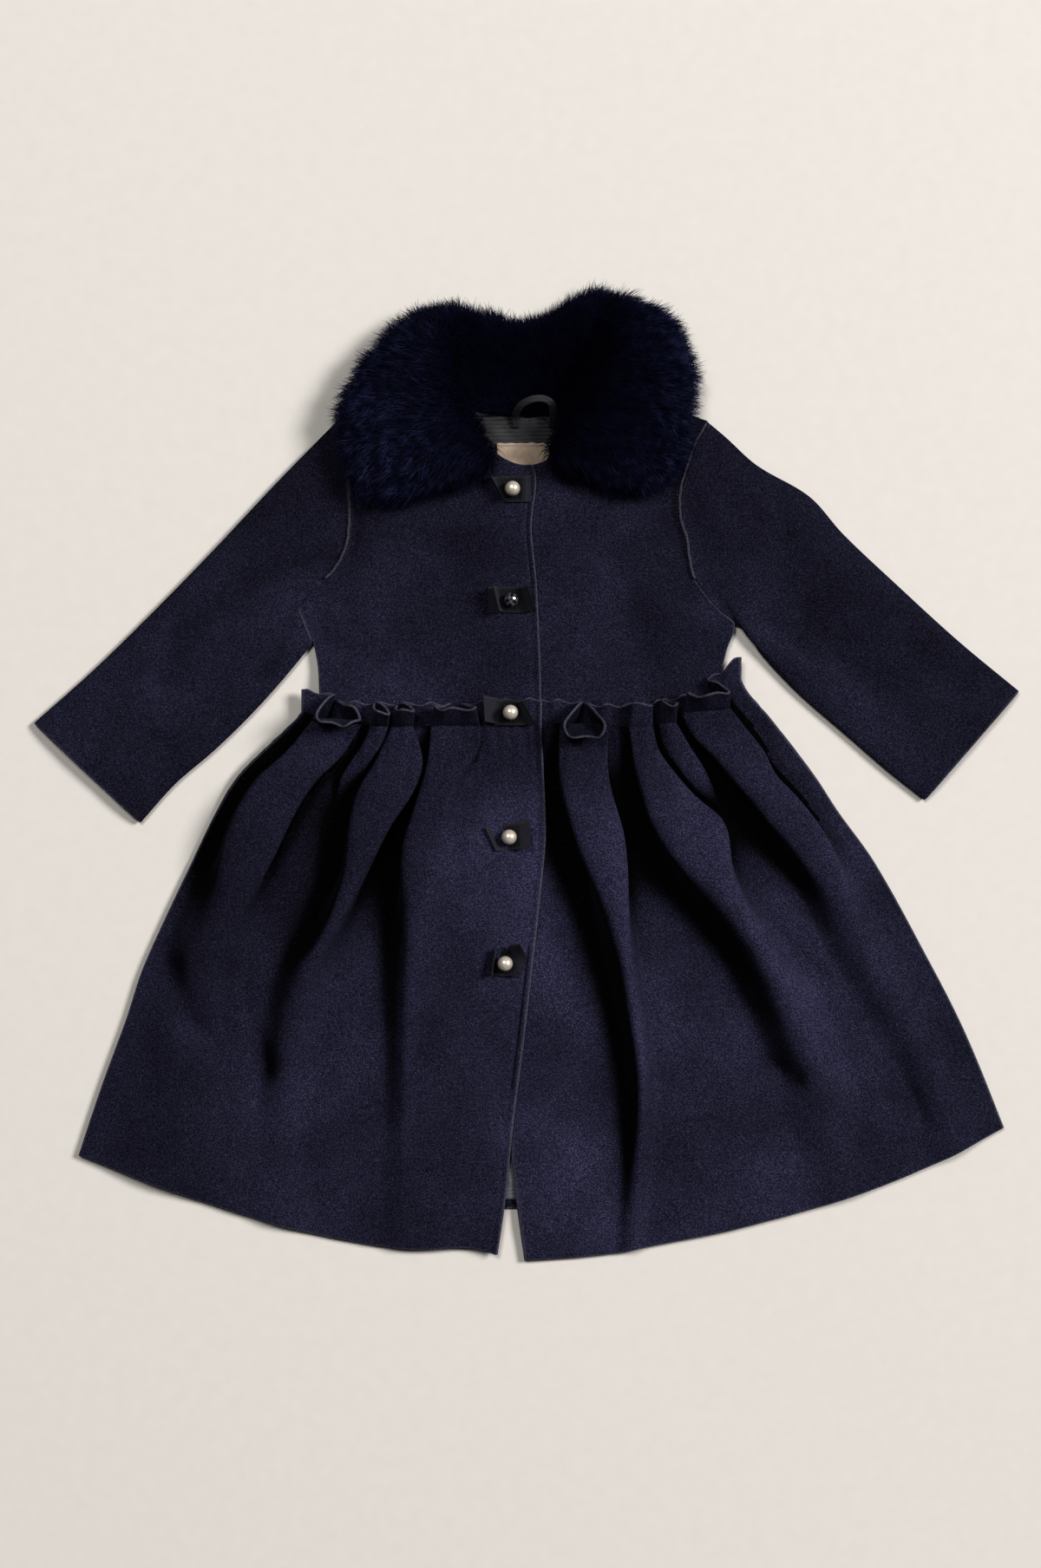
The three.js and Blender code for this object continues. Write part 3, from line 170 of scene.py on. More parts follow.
RIGHT_FOLDS = [
    dict(undercut=9, lean=0, stand=126, path=table(
        "v left right rise",
        (0, 25, 61, 10), (0.1, 24, 61, 13), (0.2, 32, 70, 14), (0.3, 42, 78, 13.5),
        (0.4, 50, 85, 12), (0.5, 60, 91, 10), (0.66, 72, 99, 8), (0.8, 72, 98, 6),
        (1, 66, 92, 3.5),
    )),
    dict(undercut=3, lean=2, stand=16, path=table(
        "v left right rise",
        (0, 75, 93, 9), (0.05, 78, 98, 10), (0.1, 81, 110, 11), (0.15, 85, 124, 12),
        (0.2, 89, 142, 13), (0.3, 104, 157, 13.5), (0.4, 128, 180, 13), (0.5, 152, 204, 11),
        (0.66, 176, 236, 8), (0.8, 192, 252, 5), (1, 210, 270, 2.5),
    )),
    dict(undercut=3, lean=4, stand=40, path=table(
        "v left right rise",
        (0, 96, 109, 9), (0.05, 101, 120, 9), (0.1, 113, 132, 7), (0.15, 127, 140, 4),
        (0.2, 145, 150, 0), (0.3, 160, 166, 0), (0.4, 184, 189, 0), (0.66, 240, 244, 0),
        (1, 274, 280, 0),
    )),
    dict(undercut=6, lean=4, stand=50, path=table(
        "v left right rise",
        (0, 113, 149, 10), (0.05, 123, 163, 11), (0.1, 139, 176, 12), (0.15, 152, 184, 12),
        (0.2, 166, 199, 12), (0.3, 188, 228, 10), (0.4, 206, 250, 7.5), (0.5, 222, 268, 5.5),
        (0.66, 252, 298, 4), (1, 300, 343, 3),
    )),
]
LEFT_ENDS = (
    dict(side="left", path=table("v x", (0, -166), (0.15, -221), (0.45, -268), (1, -336))),
    dict(side="right", path=table("v x", (0, 11), (0.15, 14), (0.45, 6), (1, -22))),
)
RIGHT_ENDS = (
    dict(side="left", path=table("v x", (0, LAP_X), (0.15, -8), (0.45, -13), (1, -1))),
    dict(side="right", path=table("v x", (0, 161), (0.15, 198), (0.45, 269), (1, 358))),
)
PLAIN_STAND = 10
FOLD_DEPTH = 0.75  # share by which the soft folds stand higher here than in the rigid solids
FOLD_SLANT = 0.12  # share of its width by which a crest is pushed over to the right
LOOP_CLOSING = 0.17  # share of its width by which each side of a fold closes in at the frill's top
RUN_OUT = 0.6  # share of the crest's height with which the slope beside the front edge starts
CREASE_SHADE = 0.115  # share of the light that is lost at most in a crease of a sleeve or the bodice

# Soft troughs (depth above 0) and ridges (below 0) along a line from (ax, ay) to (bx, by)
SLEEVE_CREASES = table(
    "ax ay bx by width depth",
    (-146, 240, -152, 200, 9, 2.4), (-150, 168, -205, 148, 11, 4.2), (-205, 148, -254, 108, 13, 4.2),
    (-254, 108, -271, 74, 13, 3.8), (-174, 118, -196, 78, 8, 3), (-196, 78, -207, 46, 8, 2.6),
    (-284, 26, -306, -2, 9, 2.4), (-225, 190, -270, 140, 16, -1.6), (143, 240, 156, 200, 9, 2.6),
    (190, 205, 196, 176, 9, 2.2), (215, 120, 262, 70, 14, 4), (290, 96, 326, 62, 12, 2),
    (176, 120, 214, 92, 9, 2.6), (232, 168, 286, 112, 16, -1.6),
)
BODICE_CREASES = table(
    "ax ay bx by width depth",
    (-130, 190, -60, 176, 16, 1.6), (118, 190, 70, 170, 16, 1.6), (-150, 105, -110, 88, 12, 1.4),
    (84, 120, 132, 96, 18, 1.4), (113, 225, 122, 140, 17, 1.5), (88, 150, 96, 60, 20, 1.2),
    (-132, 215, -128, 160, 11, 1.2),
)
SKIRT_CREASES = table(
    "ax ay bx by width depth",
    (-268, -141, -250, -187, 11, 4), (-250, -187, -230, -208, 11, 4), (-220, -150, -218, -182, 9, 5),
    (-218, -182, -197, -218, 10, 4), (-84, -260, -66, -320, 20, 1.4), (204, -138, 220, -152, 7, 4),
    (158, -214, 202, -226, 10, 4), (160, -250, 173, -300, 11, 3), (218, -250, 244, -274, 13, 3),
    (276, -190, 292, -255, 13, 3), (112, -170, 138, -260, 16, 1.6), (-182, -230, -190, -300, 14, 1.6),
)
BACK_PLEATS = table(
    "waist hem width",
    (-132, -262, 15), (-96, -190, 13), (-62, -122, 15), (-24, -46, 13),
    (14, 28, 14), (52, 104, 13), (88, 176, 15), (124, 252, 13),
)

# Fur collar: outlines of the two fallen leaves and of the part behind the neck
LEFT_LEAF = table(
    "x y",
    (-19, 242), (-22, 231), (-40, 219), (-64, 211), (-92, 201), (-118, 207), (-135, 229), (-141, 257),
    (-140, 279), (-128, 303), (-112, 325), (-92, 343), (-66, 354), (-50, 345), (-48, 322), (-46, 296),
    (-35, 273), (-26, 257),
)
RIGHT_LEAF = table(
    "x y",
    (11, 240), (14, 253), (24, 274), (34, 296), (46, 318), (52, 342), (66, 361), (90, 357), (111, 341),
    (123, 318), (125, 296), (124, 268), (120, 243), (106, 222), (84, 211), (60, 214), (36, 222), (18, 228),
)
COLLAR_BACK = table(
    "x y",
    (-44, 282), (-70, 298), (-98, 318), (-84, 341), (-60, 353), (-38, 350), (-18, 345), (-3, 341), (14, 347),
    (34, 358), (54, 364.8), (78, 356), (98, 336), (96, 312), (66, 296), (36, 279), (0, 273.5),
)
LEAF_HEIGHT = 26
COLLAR_BACK_HEIGHT = 20

# Bows, from the collar down: the ball's centre, and how far the flat lower layer reaches to each side
BOWS = table(
    "x y under_left under_right",
    (-10.5, 215, 9, 13), (-11.5, 132, 17, 11), (-12, 47.5, 12, 11), (-13, -45.5, 9, 9), (-16, -140, 8, 9),
)
# Their upper ribbons, arm by arm: length, where it starts to lift off the cloth, how steeply its end stands,
# which way it swings, how far its cut end is turned in the plane of the cloth and how far it is rolled
LEFT_ARMS = table(
    "reach flat lift turn cross roll",
    (17, 8.5, 84, 3, 28, 0), (19, 6.5, 76, 4, 14, 0), (21, 9, 24, 11, 4, 0), (17, 5.5, 46, -8, 25, 0),
    (17, 5.5, 82, 8, -8, 0),
)
RIGHT_ARMS = table(
    "reach flat lift turn cross roll",
    (14, 10, 8, 2, 0, 0), (21, 12, 86, 10, 16, 0), (19, 11, 86, 0, 28, 0), (17, 6, 26, 14, 4, 0),
    (20, 5.5, 40, 42, 24, 48),
)
STONE_BALL = 1  # place in the row of the button that is set with stones


# ---------------------------------------------------------------- small helpers

def lerp(a, b, t):
    return a + (b - a) * t


def smooth(start, end, value):
    t = np.clip((np.asarray(value, float) - start) / ((end - start) or 1), 0, 1)
    return t * t * (3 - 2 * t)


def read(rows, by, out, value):
    """Column `out` of a table at `value` of column `by`, through a smooth curve."""
    order = np.argsort(rows[by])
    xs, ys = rows[by][order], rows[out][order]
    count = len(xs)
    low = np.maximum(np.arange(count) - 1, 0)
    high = np.minimum(np.arange(count) + 1, count - 1)
    slope = (ys[high] - ys[low]) / (xs[high] - xs[low])
    at = np.clip(value, xs[0], xs[-1])
    i = np.clip(np.searchsorted(xs, at) - 1, 0, count - 2)
    span = xs[i + 1] - xs[i]
    t = (at - xs[i]) / span
    bend = span * (t * (1 - t) ** 2 * slope[i] - t * t * (1 - t) * slope[i + 1])
    return lerp(ys[i], ys[i + 1], t * t * (3 - 2 * t)) + bend


def x_at(line, y):
    return read(line, "y", "x", y)


def y_at(line, x):
    return read(line, "x", "y", x)


def relief(creases, x, y):
    """Depth of the creases in a table at each place."""
    depth = np.zeros(np.broadcast(x, y).shape)
    for ax, ay, bx, by, width, deep in zip(*creases.values()):
        along = np.array([bx - ax, by - ay])
        near = np.clip(((x - ax) * along[0] + (y - ay) * along[1]) / (along @ along), 0, 1)
        off = np.hypot(x - ax - near * along[0], y - ay - near * along[1])
        depth = depth + deep * np.exp(-((off / width) ** 2))
    return depth


def unevenness(x, y, size, seed):
    """Slow waves of about `size` millimetres, from -1 to 1, that no two places of the cloth share."""
    chance = np.random.default_rng(seed)
    total = np.zeros(np.broadcast(x, y).shape)
    for _ in range(7):
        turn, phase = chance.uniform(0, 2 * np.pi, 2)
        pitch = 2 * np.pi / (size * chance.uniform(0.7, 1.8))
        total = total + np.sin((x * np.cos(turn) + y * np.sin(turn)) * pitch + phase)
    return total / 4


def unit(vectors):
    """Vectors with the same directions and length 1."""
    return vectors / np.maximum(np.linalg.norm(vectors, axis=-1, keepdims=True), 1e-9)


def closed(rows):
    """The array with its first column again behind its last one."""
    return np.concatenate([rows, rows[:, :1]], axis=1)


def shares(count, edge=0.0):
    """Evenly spread values from 0 to 1, with one more close to each end where edge is set."""
    values = np.linspace(0, 1, count)
    return np.sort(np.concatenate([values, [edge, 1 - edge]])) if edge else values


# ---------------------------------------------------------------- meshes

def finished(name, points, faces, finishes, face_finish=None, smooth_faces=True):
    """A mesh object from points in millimetres, at the origin, with its materials."""
    mesh = bpy.data.meshes.new(name)
    mesh.from_pydata((np.asarray(points) * MM).tolist(), [], faces)
    for finish in finishes:
        mesh.materials.append(finish)
    if face_finish is not None:
        mesh.polygons.foreach_set("material_index", np.asarray(face_finish, np.int32))
    mesh.polygons.foreach_set("use_smooth", np.full(len(mesh.polygons), smooth_faces))
    mesh.update()
    piece = bpy.data.objects.new(name, mesh)
    bpy.context.collection.objects.link(piece)
    return piece


def mark(piece, name, values):
    """Stores one value for each vertex of the piece."""
    piece.data.attributes.new(name, "FLOAT", "POINT").data.foreach_set("value", np.asarray(values, np.float32))


def shaded(piece, depth):
    """Stores the painted shade of folds and creases: how much of the light they take from each place of a
    wall's outer side, which darkens the wool's colour.
    """
    marked = np.zeros(len(piece.data.vertices))
    marked[:depth.size] = depth.ravel()
    mark(piece, "painted_fold_shade", marked)
    return piece


def quads(index):
    """Faces between the rows of an array of vertex numbers, facing up where rows run down the page."""
    corners = (index[:-1, :-1], index[1:, :-1], index[1:, 1:], index[:-1, 1:])
    return np.stack([c.ravel() for c in corners], axis=1).tolist()


def facing(grid, ring):
    """Unit normals of a grid of points."""
    down = np.gradient(grid, axis=0)
    if ring:
        across = np.roll(grid, -1, axis=1) - np.roll(grid, 1, axis=1)
    else:
        across = np.gradient(grid, axis=1)
    return unit(np.cross(down, across))


RIM_STEPS = (0.22, 0.5, 0.78)


def cloth_wall(name, grid, wall, finishes, ring=False, straight_down=False, bulge=0.16, inner=None):
    """A closed wall of cloth whose outer face is the grid. Its cut edges are rounded by bulge of the wall.
    The inner face is set back by the wall, unless it is given as a grid of its own.

    finishes are the outer face's, the inner face's and the cut edge's materials. The attribute "cut_edge"
    is 1 on the cut edges and fades into the cloth."""
    rows, columns = grid.shape[:2]
    if inner is None:
        inner = grid - (np.array([0, 0, 1.0]) if straight_down else facing(grid, ring)) * wall
    index = np.arange(rows * columns).reshape(rows, columns)
    outer_faces = quads(closed(index) if ring else index)
    inner_faces = [face[::-1] for face in (np.array(outer_faces) + index.size).tolist()]
    points = [grid.reshape(-1, 3), inner.reshape(-1, 3)]
    edge_value = [np.zeros(index.size), np.zeros(index.size)]
    rim_faces = []

    if ring:
        borders = [(index[0], index[1]), (index[-1][::-1], index[-2][::-1])]
    else:
        outline = np.concatenate([index[0, :-1], index[:-1, -1], index[-1, :0:-1], index[:0:-1, 0]])
        inside = np.concatenate([index[1, :-1], index[:-1, -2], index[-2, :0:-1], index[:0:-1, 1]])
        corner = np.cumsum([0, columns - 1, rows - 1, columns - 1])
        inside[corner] = [index[1, 1], index[1, -2], index[-2, -2], index[-2, 1]]
        borders = [(outline, inside)]
    outer_points, inner_points = points[0], points[1]
    next_id = 2 * index.size
    for border, inside in borders:
        edge_value[0][border] = 1
        edge_value[1][border] = 1
        a, b = outer_points[border], inner_points[border]
        out, through = a - outer_points[inside], b - a
        along = np.sum(out * through, axis=1) / np.maximum(np.sum(through**2, axis=1), 1e-9)
        out = unit(out - through * along[:, None])
        strips = [border]
        for share in RIM_STEPS:
            points.append(lerp(a, b, share) + out * wall * bulge * 2 * math.sin(math.pi * share))
            edge_value.append(np.ones(len(border)))
            strips.append(np.arange(next_id, next_id + len(border)))
            next_id += len(border)
        strips.append(border + index.size)
        band = closed(np.array(strips))
        # The outer face's border runs clockwise, so the rim's faces turn the same way as its own
        corners = (band[:-1, :-1], band[:-1, 1:], band[1:, 1:], band[1:, :-1])
        rim_faces += np.stack([c.ravel() for c in corners], axis=1).tolist()

    faces = outer_faces + inner_faces + rim_faces
    kinds = [0] * len(outer_faces) + [1] * len(inner_faces) + [2] * len(rim_faces)
    piece = finished(name, np.concatenate(points), faces, finishes, kinds)
    mark(piece, "cut_edge", np.concatenate(edge_value))
    return piece


def closed_curve(rows, count):
    """A smooth closed outline through a table's points, at evenly spaced places, anticlockwise."""
    knots = np.stack([rows["x"], rows["y"]], axis=1)
    before, after, beyond = (np.roll(knots, shift, axis=0) for shift in (1, -1, -2))
    t = np.linspace(0, 1, 24, endpoint=False)[:, None]
    pieces = []
    for p0, p1, p2, p3 in zip(before, knots, after, beyond):
        bend, twist = 2 * p0 - 5 * p1 + 4 * p2 - p3, 3 * p1 - p0 - 3 * p2 + p3
        pieces.append((2 * p1 + (p2 - p0) * t + bend * t**2 + twist * t**3) / 2)
    fine = np.concatenate(pieces)
    fine = np.concatenate([fine, fine[:1]])
    length = np.concatenate([[0], np.cumsum(np.linalg.norm(np.diff(fine, axis=0), axis=1))])
    even = np.linspace(0, length[-1], count, endpoint=False)
    outline = np.stack([np.interp(even, length, fine[:, k]) for k in (0, 1)], axis=1)
    after = np.roll(outline, -1, axis=0)
    area = np.sum(outline[:, 0] * after[:, 1] - after[:, 0] * outline[:, 1])
    return outline if area > 0 else outline[::-1]


# ---------------------------------------------------------------- node trees

SOCKETS = {
    "colour": "NodeSocketColor", "number": "NodeSocketFloat", "vector": "NodeSocketVector",
    "shape": "NodeSocketGeometry", "count": "NodeSocketInt", "finish": "NodeSocketMaterial",
}
SKIRT_MIDDLE = (0.03, -0.2, 0.03)  # metres; a painted pool of light makes the wool brightest round here
NECK_MIDDLE = (0.004, 0.3, 0.02)  # metres; painted shade makes the fur darkest round here


def feed(tree, node, inputs):
    """Sets a node's inputs. An input is a value, or the socket that feeds it."""
    for key, value in inputs.items():
        if isinstance(value, bpy.types.NodeSocket):
            tree.links.new(value, node.inputs[key])
        else:
            node.inputs[key].default_value = value
    return node


def add(tree, kind, inputs=None, **settings):
    """A new node with its settings and inputs."""
    node = tree.nodes.new(kind)
    for key, value in settings.items():
        setattr(node, key, value)
    return feed(tree, node, inputs or {})


def reckon(tree, operation, a, b=0.0):
    """The output of one Math node."""
    return add(tree, "ShaderNodeMath", {0: a, 1: b}, operation=operation).outputs[0]


def times(tree, product, *factors):
    """The product of two or more values."""
    for factor in factors:
        product = reckon(tree, "MULTIPLY", product, factor)
    return product


def combined(tree, operation, a, b):
    """The output of one Vector Math node: a number for a distance, or else a vector."""
    outputs = add(tree, "ShaderNodeVectorMath", {0: a, 1: b}, operation=operation).outputs
    return outputs["Value" if operation == "DISTANCE" else "Vector"]


def scaled(tree, vector, factor):
    """A vector or colour times a number."""
    return add(tree, "ShaderNodeVectorMath", {0: vector, "Scale": factor}, operation="SCALE").outputs[0]


def blended(tree, share, a, b):
    """The colour between a and b."""
    return add(tree, "ShaderNodeMix", {"Factor": share, 6: a, 7: b}, data_type="RGBA").outputs[2]


def ramp(tree, value, low, high, to_low=0.0, to_high=1.0):
    """value from low..high brought onto to_low..to_high."""
    inputs = {"Value": value, "From Min": low, "From Max": high, "To Min": to_low, "To Max": to_high}
    return add(tree, "ShaderNodeMapRange", inputs, interpolation_type="SMOOTHSTEP").outputs["Result"]


def noise(tree, place, scale, detail, **more):
    """The value of a noise texture."""
    inputs = {"Vector": place, "Scale": scale, "Detail": detail, **more}
    return add(tree, "ShaderNodeTexNoise", inputs).outputs["Fac"]


def streaks(tree, place, turn, fineness):
    """Noise that is turned, and drawn out into lines by its fineness along each axis."""
    drawn_out = add(tree, "ShaderNodeMapping", {"Vector": place, "Rotation": turn, "Scale": fineness})
    return noise(tree, drawn_out.outputs[0], 1.0, 1.0)


def ridges(tree, value, pitch):
    """Rounded ridges, one for each pitch of the value."""
    turn = reckon(tree, "DIVIDE", times(tree, value, math.pi), pitch)
    return reckon(tree, "ABSOLUTE", reckon(tree, "SINE", turn))


def stored(tree, name):
    """What the piece has stored at each place under a name."""
    return add(tree, "ShaderNodeAttribute", attribute_name=name).outputs["Fac"]


def group(name, inputs, outputs, kind="ShaderNodeTree"):
    """An empty node group, the sockets that its inputs give, and its output node."""
    tree = bpy.data.node_groups.new(name, kind)
    for label, socket_kind, *default in inputs:
        socket = tree.interface.new_socket(name=label, in_out="INPUT", socket_type=SOCKETS[socket_kind])
        if default:
            socket.default_value = default[0]
    for label, socket_kind in outputs:
        tree.interface.new_socket(name=label, in_out="OUTPUT", socket_type=SOCKETS[socket_kind])
    return tree, tree.nodes.new("NodeGroupInput").outputs, tree.nodes.new("NodeGroupOutput")


def run_group(tree, shared, inputs):
    """The outputs of a shared node group."""
    return add(tree, "ShaderNodeGroup", inputs, node_tree=shared).outputs


def nap_group():
    """Brushed woollen nap: matted fibres, lighter tips, slow shade changes, a little lint, lighter cut edges
    that are partly fraying and partly a painted highlight, painted shade in the folds and a painted pool of
    light round the skirt's middle.
    """
    tree, given, result = group("Brushed nap", [
        ("Place", "vector"),
        ("Ground", "colour", (0.01, 0.01, 0.02, 1)), ("Tips", "colour", (0.05, 0.05, 0.08, 1)),
        ("Fibre Scale", "number", 900.0), ("Lint", "number", 0.5), ("Cut Edge", "number", 0.0),
        ("Painted Fold Shade", "number", 0.0),
    ], [("Colour", "colour"), ("Height", "number"), ("Roughness", "number")])
    place, fibre = given["Place"], given["Fibre Scale"]
    matted = noise(tree, place, fibre, 2.0, Roughness=0.6, Distortion=0.8)
    clumps = noise(tree, place, times(tree, fibre, 0.55), 2.0)
    slow = noise(tree, place, 26.0, 3.0, Roughness=0.55)
    broad = noise(tree, place, 6.5, 1.0)
    tips = times(tree, ramp(tree, matted, 0.38, 0.68), ramp(tree, clumps, 0.3, 0.65, 0.5, 1.0))
    # Painted light and shade in the colour: shade where folds and creases hide the light, and a pool of light
    # round SKIRT_MIDDLE; the two slow noises are random tone
    light = times(
        tree, ramp(tree, slow, 0.3, 0.7, 0.88, 1.14), ramp(tree, broad, 0.33, 0.67, 0.78, 1.24),
        ramp(tree, given["Painted Fold Shade"], 0.03, 0.24, 1.0, 0.03),
        ramp(tree, combined(tree, "DISTANCE", place, SKIRT_MIDDLE), 0.06, 0.4, 1.3, 0.8))
    lit = scaled(tree, blended(tree, tips, given["Ground"], given["Tips"]), light)
    strands = streaks(tree, place, (0, 0, 0.7), (260.0, 1500.0, 900.0))
    lint = times(tree, ramp(tree, strands, 0.71, 0.76), given["Lint"])
    linted = blended(tree, lint, lit, (0.06, 0.06, 0.09, 1))
    # Cut edges turn lighter: partly fraying fibres, partly a painted highlight where the raw edge catches the
    # light
    fray_and_highlight = times(tree, given["Cut Edge"], ramp(tree, matted, 0.35, 0.6, 0.25, 0.9))
    feed(tree, result, {
        "Colour": blended(tree, fray_and_highlight, linted, (0.085, 0.083, 0.11, 1)),
        "Height": reckon(tree, "ADD", times(tree, matted, 0.6), times(tree, clumps, 0.8)),
        "Roughness": ramp(tree, clumps, 0.3, 0.7, 1.0, 0.82),
    })
    return tree


def thread_group():
    """Threads in two directions: their height, and a mask of the gaps between them."""
    tree, given, result = group("Woven threads", [
        ("Place", "vector"), ("Warp Pitch", "number", 0.0005), ("Weft Pitch", "number", 0.0005),
    ], [("Height", "number"), ("Gaps", "number")])
    axes = add(tree, "ShaderNodeSeparateXYZ", {0: given["Place"]}).outputs
    height = times(
        tree, ridges(tree, axes["X"], given["Warp Pitch"]), ridges(tree, axes["Y"], given["Weft Pitch"]))
    feed(tree, result, {"Height": height, "Gaps": ramp(tree, height, 0.35, 0.0)})
    return tree


NAP = nap_group()
THREADS = thread_group()


def material(name, rough, metal=0.0, **constants):
    """A new material with its Principled shader, its object coordinates and constants set on the shader."""
    made = bpy.data.materials.new(name)
    made.use_nodes = True
    tree = made.node_tree
    shader = tree.nodes["Principled BSDF"]
    feed(tree, shader, {"Roughness": rough, "Metallic": metal})
    feed(tree, shader, {key.replace("_", " "): value for key, value in constants.items()})
    place = add(tree, "ShaderNodeTexCoord").outputs["Object"]
    return made, tree, shader, place


def surface(tree, shader, colour, rough=None, height=None, depth=0.0):
    """Gives a shader its colour and, where they are set, its roughness and a relief of some depth in metres."""
    feed(tree, shader, {"Base Color": colour})
    if rough is not None:
        feed(tree, shader, {"Roughness": rough})
    if height is not None:
        bump = add(tree, "ShaderNodeBump", {"Height": height, "Distance": depth, "Strength": 1.0})
        feed(tree, shader, {"Normal": bump.outputs[0]})


def wool_finish(name, ground, tips, fibre=1250.0, lint=0.5, edge=None):
    """Double-faced wool cloth, its colour darkened by the painted fold shade that each piece stores. edge is a
    set value for cut edges, or else the cloth's own attribute.
    """
    made, tree, shader, place = material(
        name, 0.95, Sheen_Weight=0.04, Sheen_Roughness=0.5, Sheen_Tint=(0.5, 0.55, 0.85, 1),
        Specular_IOR_Level=0.08)
    nap = run_group(tree, NAP, {
        "Place": place, "Ground": ground, "Tips": tips, "Fibre Scale": fibre, "Lint": lint,
        "Cut Edge": stored(tree, "cut_edge") if edge is None else edge,
        "Painted Fold Shade": stored(tree, "painted_fold_shade"),
    })
    surface(tree, shader, nap["Colour"], nap["Roughness"], nap["Height"], 0.0007)
    return made


def satin_finish(name, ground, shine, rough, pitch):
    """Lining satin with fine floating threads, a soft sheen, and patches of painted sheen where the threads'
    colour turns to the lighter shine.
    """
    made, tree, shader, place = material(name, rough, Sheen_Weight=0.1, Specular_IOR_Level=0.45)
    threads = run_group(tree, THREADS, {"Place": place, "Warp Pitch": pitch, "Weft Pitch": pitch * 5})
    slow = noise(tree, place, 60.0, 2.0)
    # Painted sheen: slow patches of the lighter shine colour on the threads
    painted_sheen = blended(tree, ramp(tree, slow, 0.35, 0.7), ground, shine)
    duller = ramp(tree, slow, 0.3, 0.7, rough, rough + 0.15)
    surface(tree, shader, blended(tree, threads["Gaps"], painted_sheen, ground), duller, threads["Height"], 0.00012)
    return made


def ribbon_finish():
    """Grosgrain: raised ribs, darker in the shade of the button, and a lighter selvedge."""
    made, tree, shader, place = material(
        "Grosgrain ribbon", 0.62, Sheen_Weight=0.05, Sheen_Tint=(0.6, 0.62, 0.8, 1), Specular_IOR_Level=0.2)
    raised = (0.04, 0.039, 0.052, 1)
    along = stored(tree, "ribbon_length")
    ribs = ridges(tree, along, 0.8)
    grain = noise(tree, place, 1600.0, 2.0)
    away = ramp(tree, reckon(tree, "ABSOLUTE", along), 6.0, 11.0, 0.22, 0.85)
    cloth = scaled(tree, blended(tree, ribs, (0.006, 0.006, 0.01, 1), raised), away)
    selvedge = ramp(tree, reckon(tree, "ABSOLUTE", stored(tree, "ribbon_width")), 0.8, 0.9)
    cloth = blended(tree, times(tree, selvedge, 0.25), cloth, (0.055, 0.054, 0.07, 1))
    cloth = blended(tree, ramp(tree, grain, 0.66, 0.85), cloth, raised)
    surface(tree, shader, cloth, ramp(tree, grain, 0.3, 0.7, 0.56, 0.72), ribs, 0.0003)
    return made


def label_finish():
    """Bare woven label: pale taffeta, a little soiled."""
    made, tree, shader, place = material("Bare woven label", 0.75, Sheen_Weight=0.1)
    threads = run_group(tree, THREADS, {"Place": place, "Warp Pitch": 0.0007, "Weft Pitch": 0.0006})
    soil = ramp(tree, noise(tree, place, 120.0, 4.0), 0.35, 0.75)
    base = blended(tree, soil, (0.46, 0.38, 0.31, 1), (0.33, 0.26, 0.205, 1))
    woven = blended(tree, threads["Gaps"], base, (0.15, 0.11, 0.08, 1))
    surface(tree, shader, woven, None, threads["Height"], 0.0002)
    return made


def metal_finish():
    """Champagne-silver plating, a little clouded and scratched."""
    made, tree, shader, place = material(
        "Champagne plated metal", 0.36, 0.45, Coat_Weight=1.0, Coat_Roughness=0.1)
    cloud = noise(tree, place, 420.0, 5.0, Roughness=0.6)
    scratches = streaks(tree, place, (0.4, 0.2, 0.9), (300.0, 4000.0, 300.0))
    colour = blended(tree, ramp(tree, cloud, 0.45, 0.75), (0.62, 0.57, 0.5, 1), (0.46, 0.4, 0.33, 1))
    rough = reckon(
        tree, "ADD", ramp(tree, cloud, 0.4, 0.8, 0.22, 0.46), ramp(tree, scratches, 0.6, 0.75, 0.0, 0.15))
    surface(tree, shader, colour, rough, cloud, 0.00008)
    return made


def stone_finish():
    """Foil-backed paste stones, with painted glints: bright spots in their colour among darker ones."""
    made, tree, shader, place = material("Paste stones", 0.06, 0.85, Coat_Weight=1.0, Coat_Roughness=0.02)
    # Painted glints: bright spots in the stones' colour
    painted_glints = add(tree, "ShaderNodeTexVoronoi", {"Vector": place, "Scale": 900.0}).outputs["Distance"]
    bright, dark = (0.8, 0.8, 0.85, 1), (0.3, 0.3, 0.36, 1)
    surface(tree, shader, blended(tree, ramp(tree, painted_glints, 0.1, 0.6), bright, dark))
    return made


def setting_finish():
    """Dark metal between the stones."""
    made, tree, shader, place = material("Dark setting metal", 0.35, 0.8)
    grime = noise(tree, place, 700.0, 3.0)
    colour = blended(tree, grime, (0.01, 0.01, 0.013, 1), (0.07, 0.065, 0.075, 1))
    surface(tree, shader, colour, ramp(tree, grime, 0.3, 0.7, 0.25, 0.5), grime, 0.0001)
    return made


def fur_finish():
    """Plush fur: painted shade makes it dark at the root and near the neck, lighter at the tips; each lock a
    little different.
    """
    made, tree, shader, place = material(
        "Navy fur", 0.6, Sheen_Weight=0.03, Sheen_Tint=(0.3, 0.4, 1.0, 1), Specular_IOR_Level=0.06)
    slow = noise(tree, place, 130.0, 3.0)
    out = combined(tree, "DISTANCE", place, NECK_MIDDLE)
    # Painted shade: darker towards the roots of the pile and near the neck; lock_shade and the slow noise are
    # random tone
    light = times(
        tree, ramp(tree, stored(tree, "lock_length"), 0.25, 1.0), stored(tree, "lock_shade"),
        ramp(tree, slow, 0.38, 0.72, 0.1, 1.0), ramp(tree, out, 0.05, 0.15, 0.1, 1.0))
    colour = blended(tree, light, (0.0018, 0.0024, 0.013, 1), (0.15, 0.165, 0.36, 1))
    surface(tree, shader, colour, ramp(tree, slow, 0.3, 0.7, 0.5, 0.68))
    return made


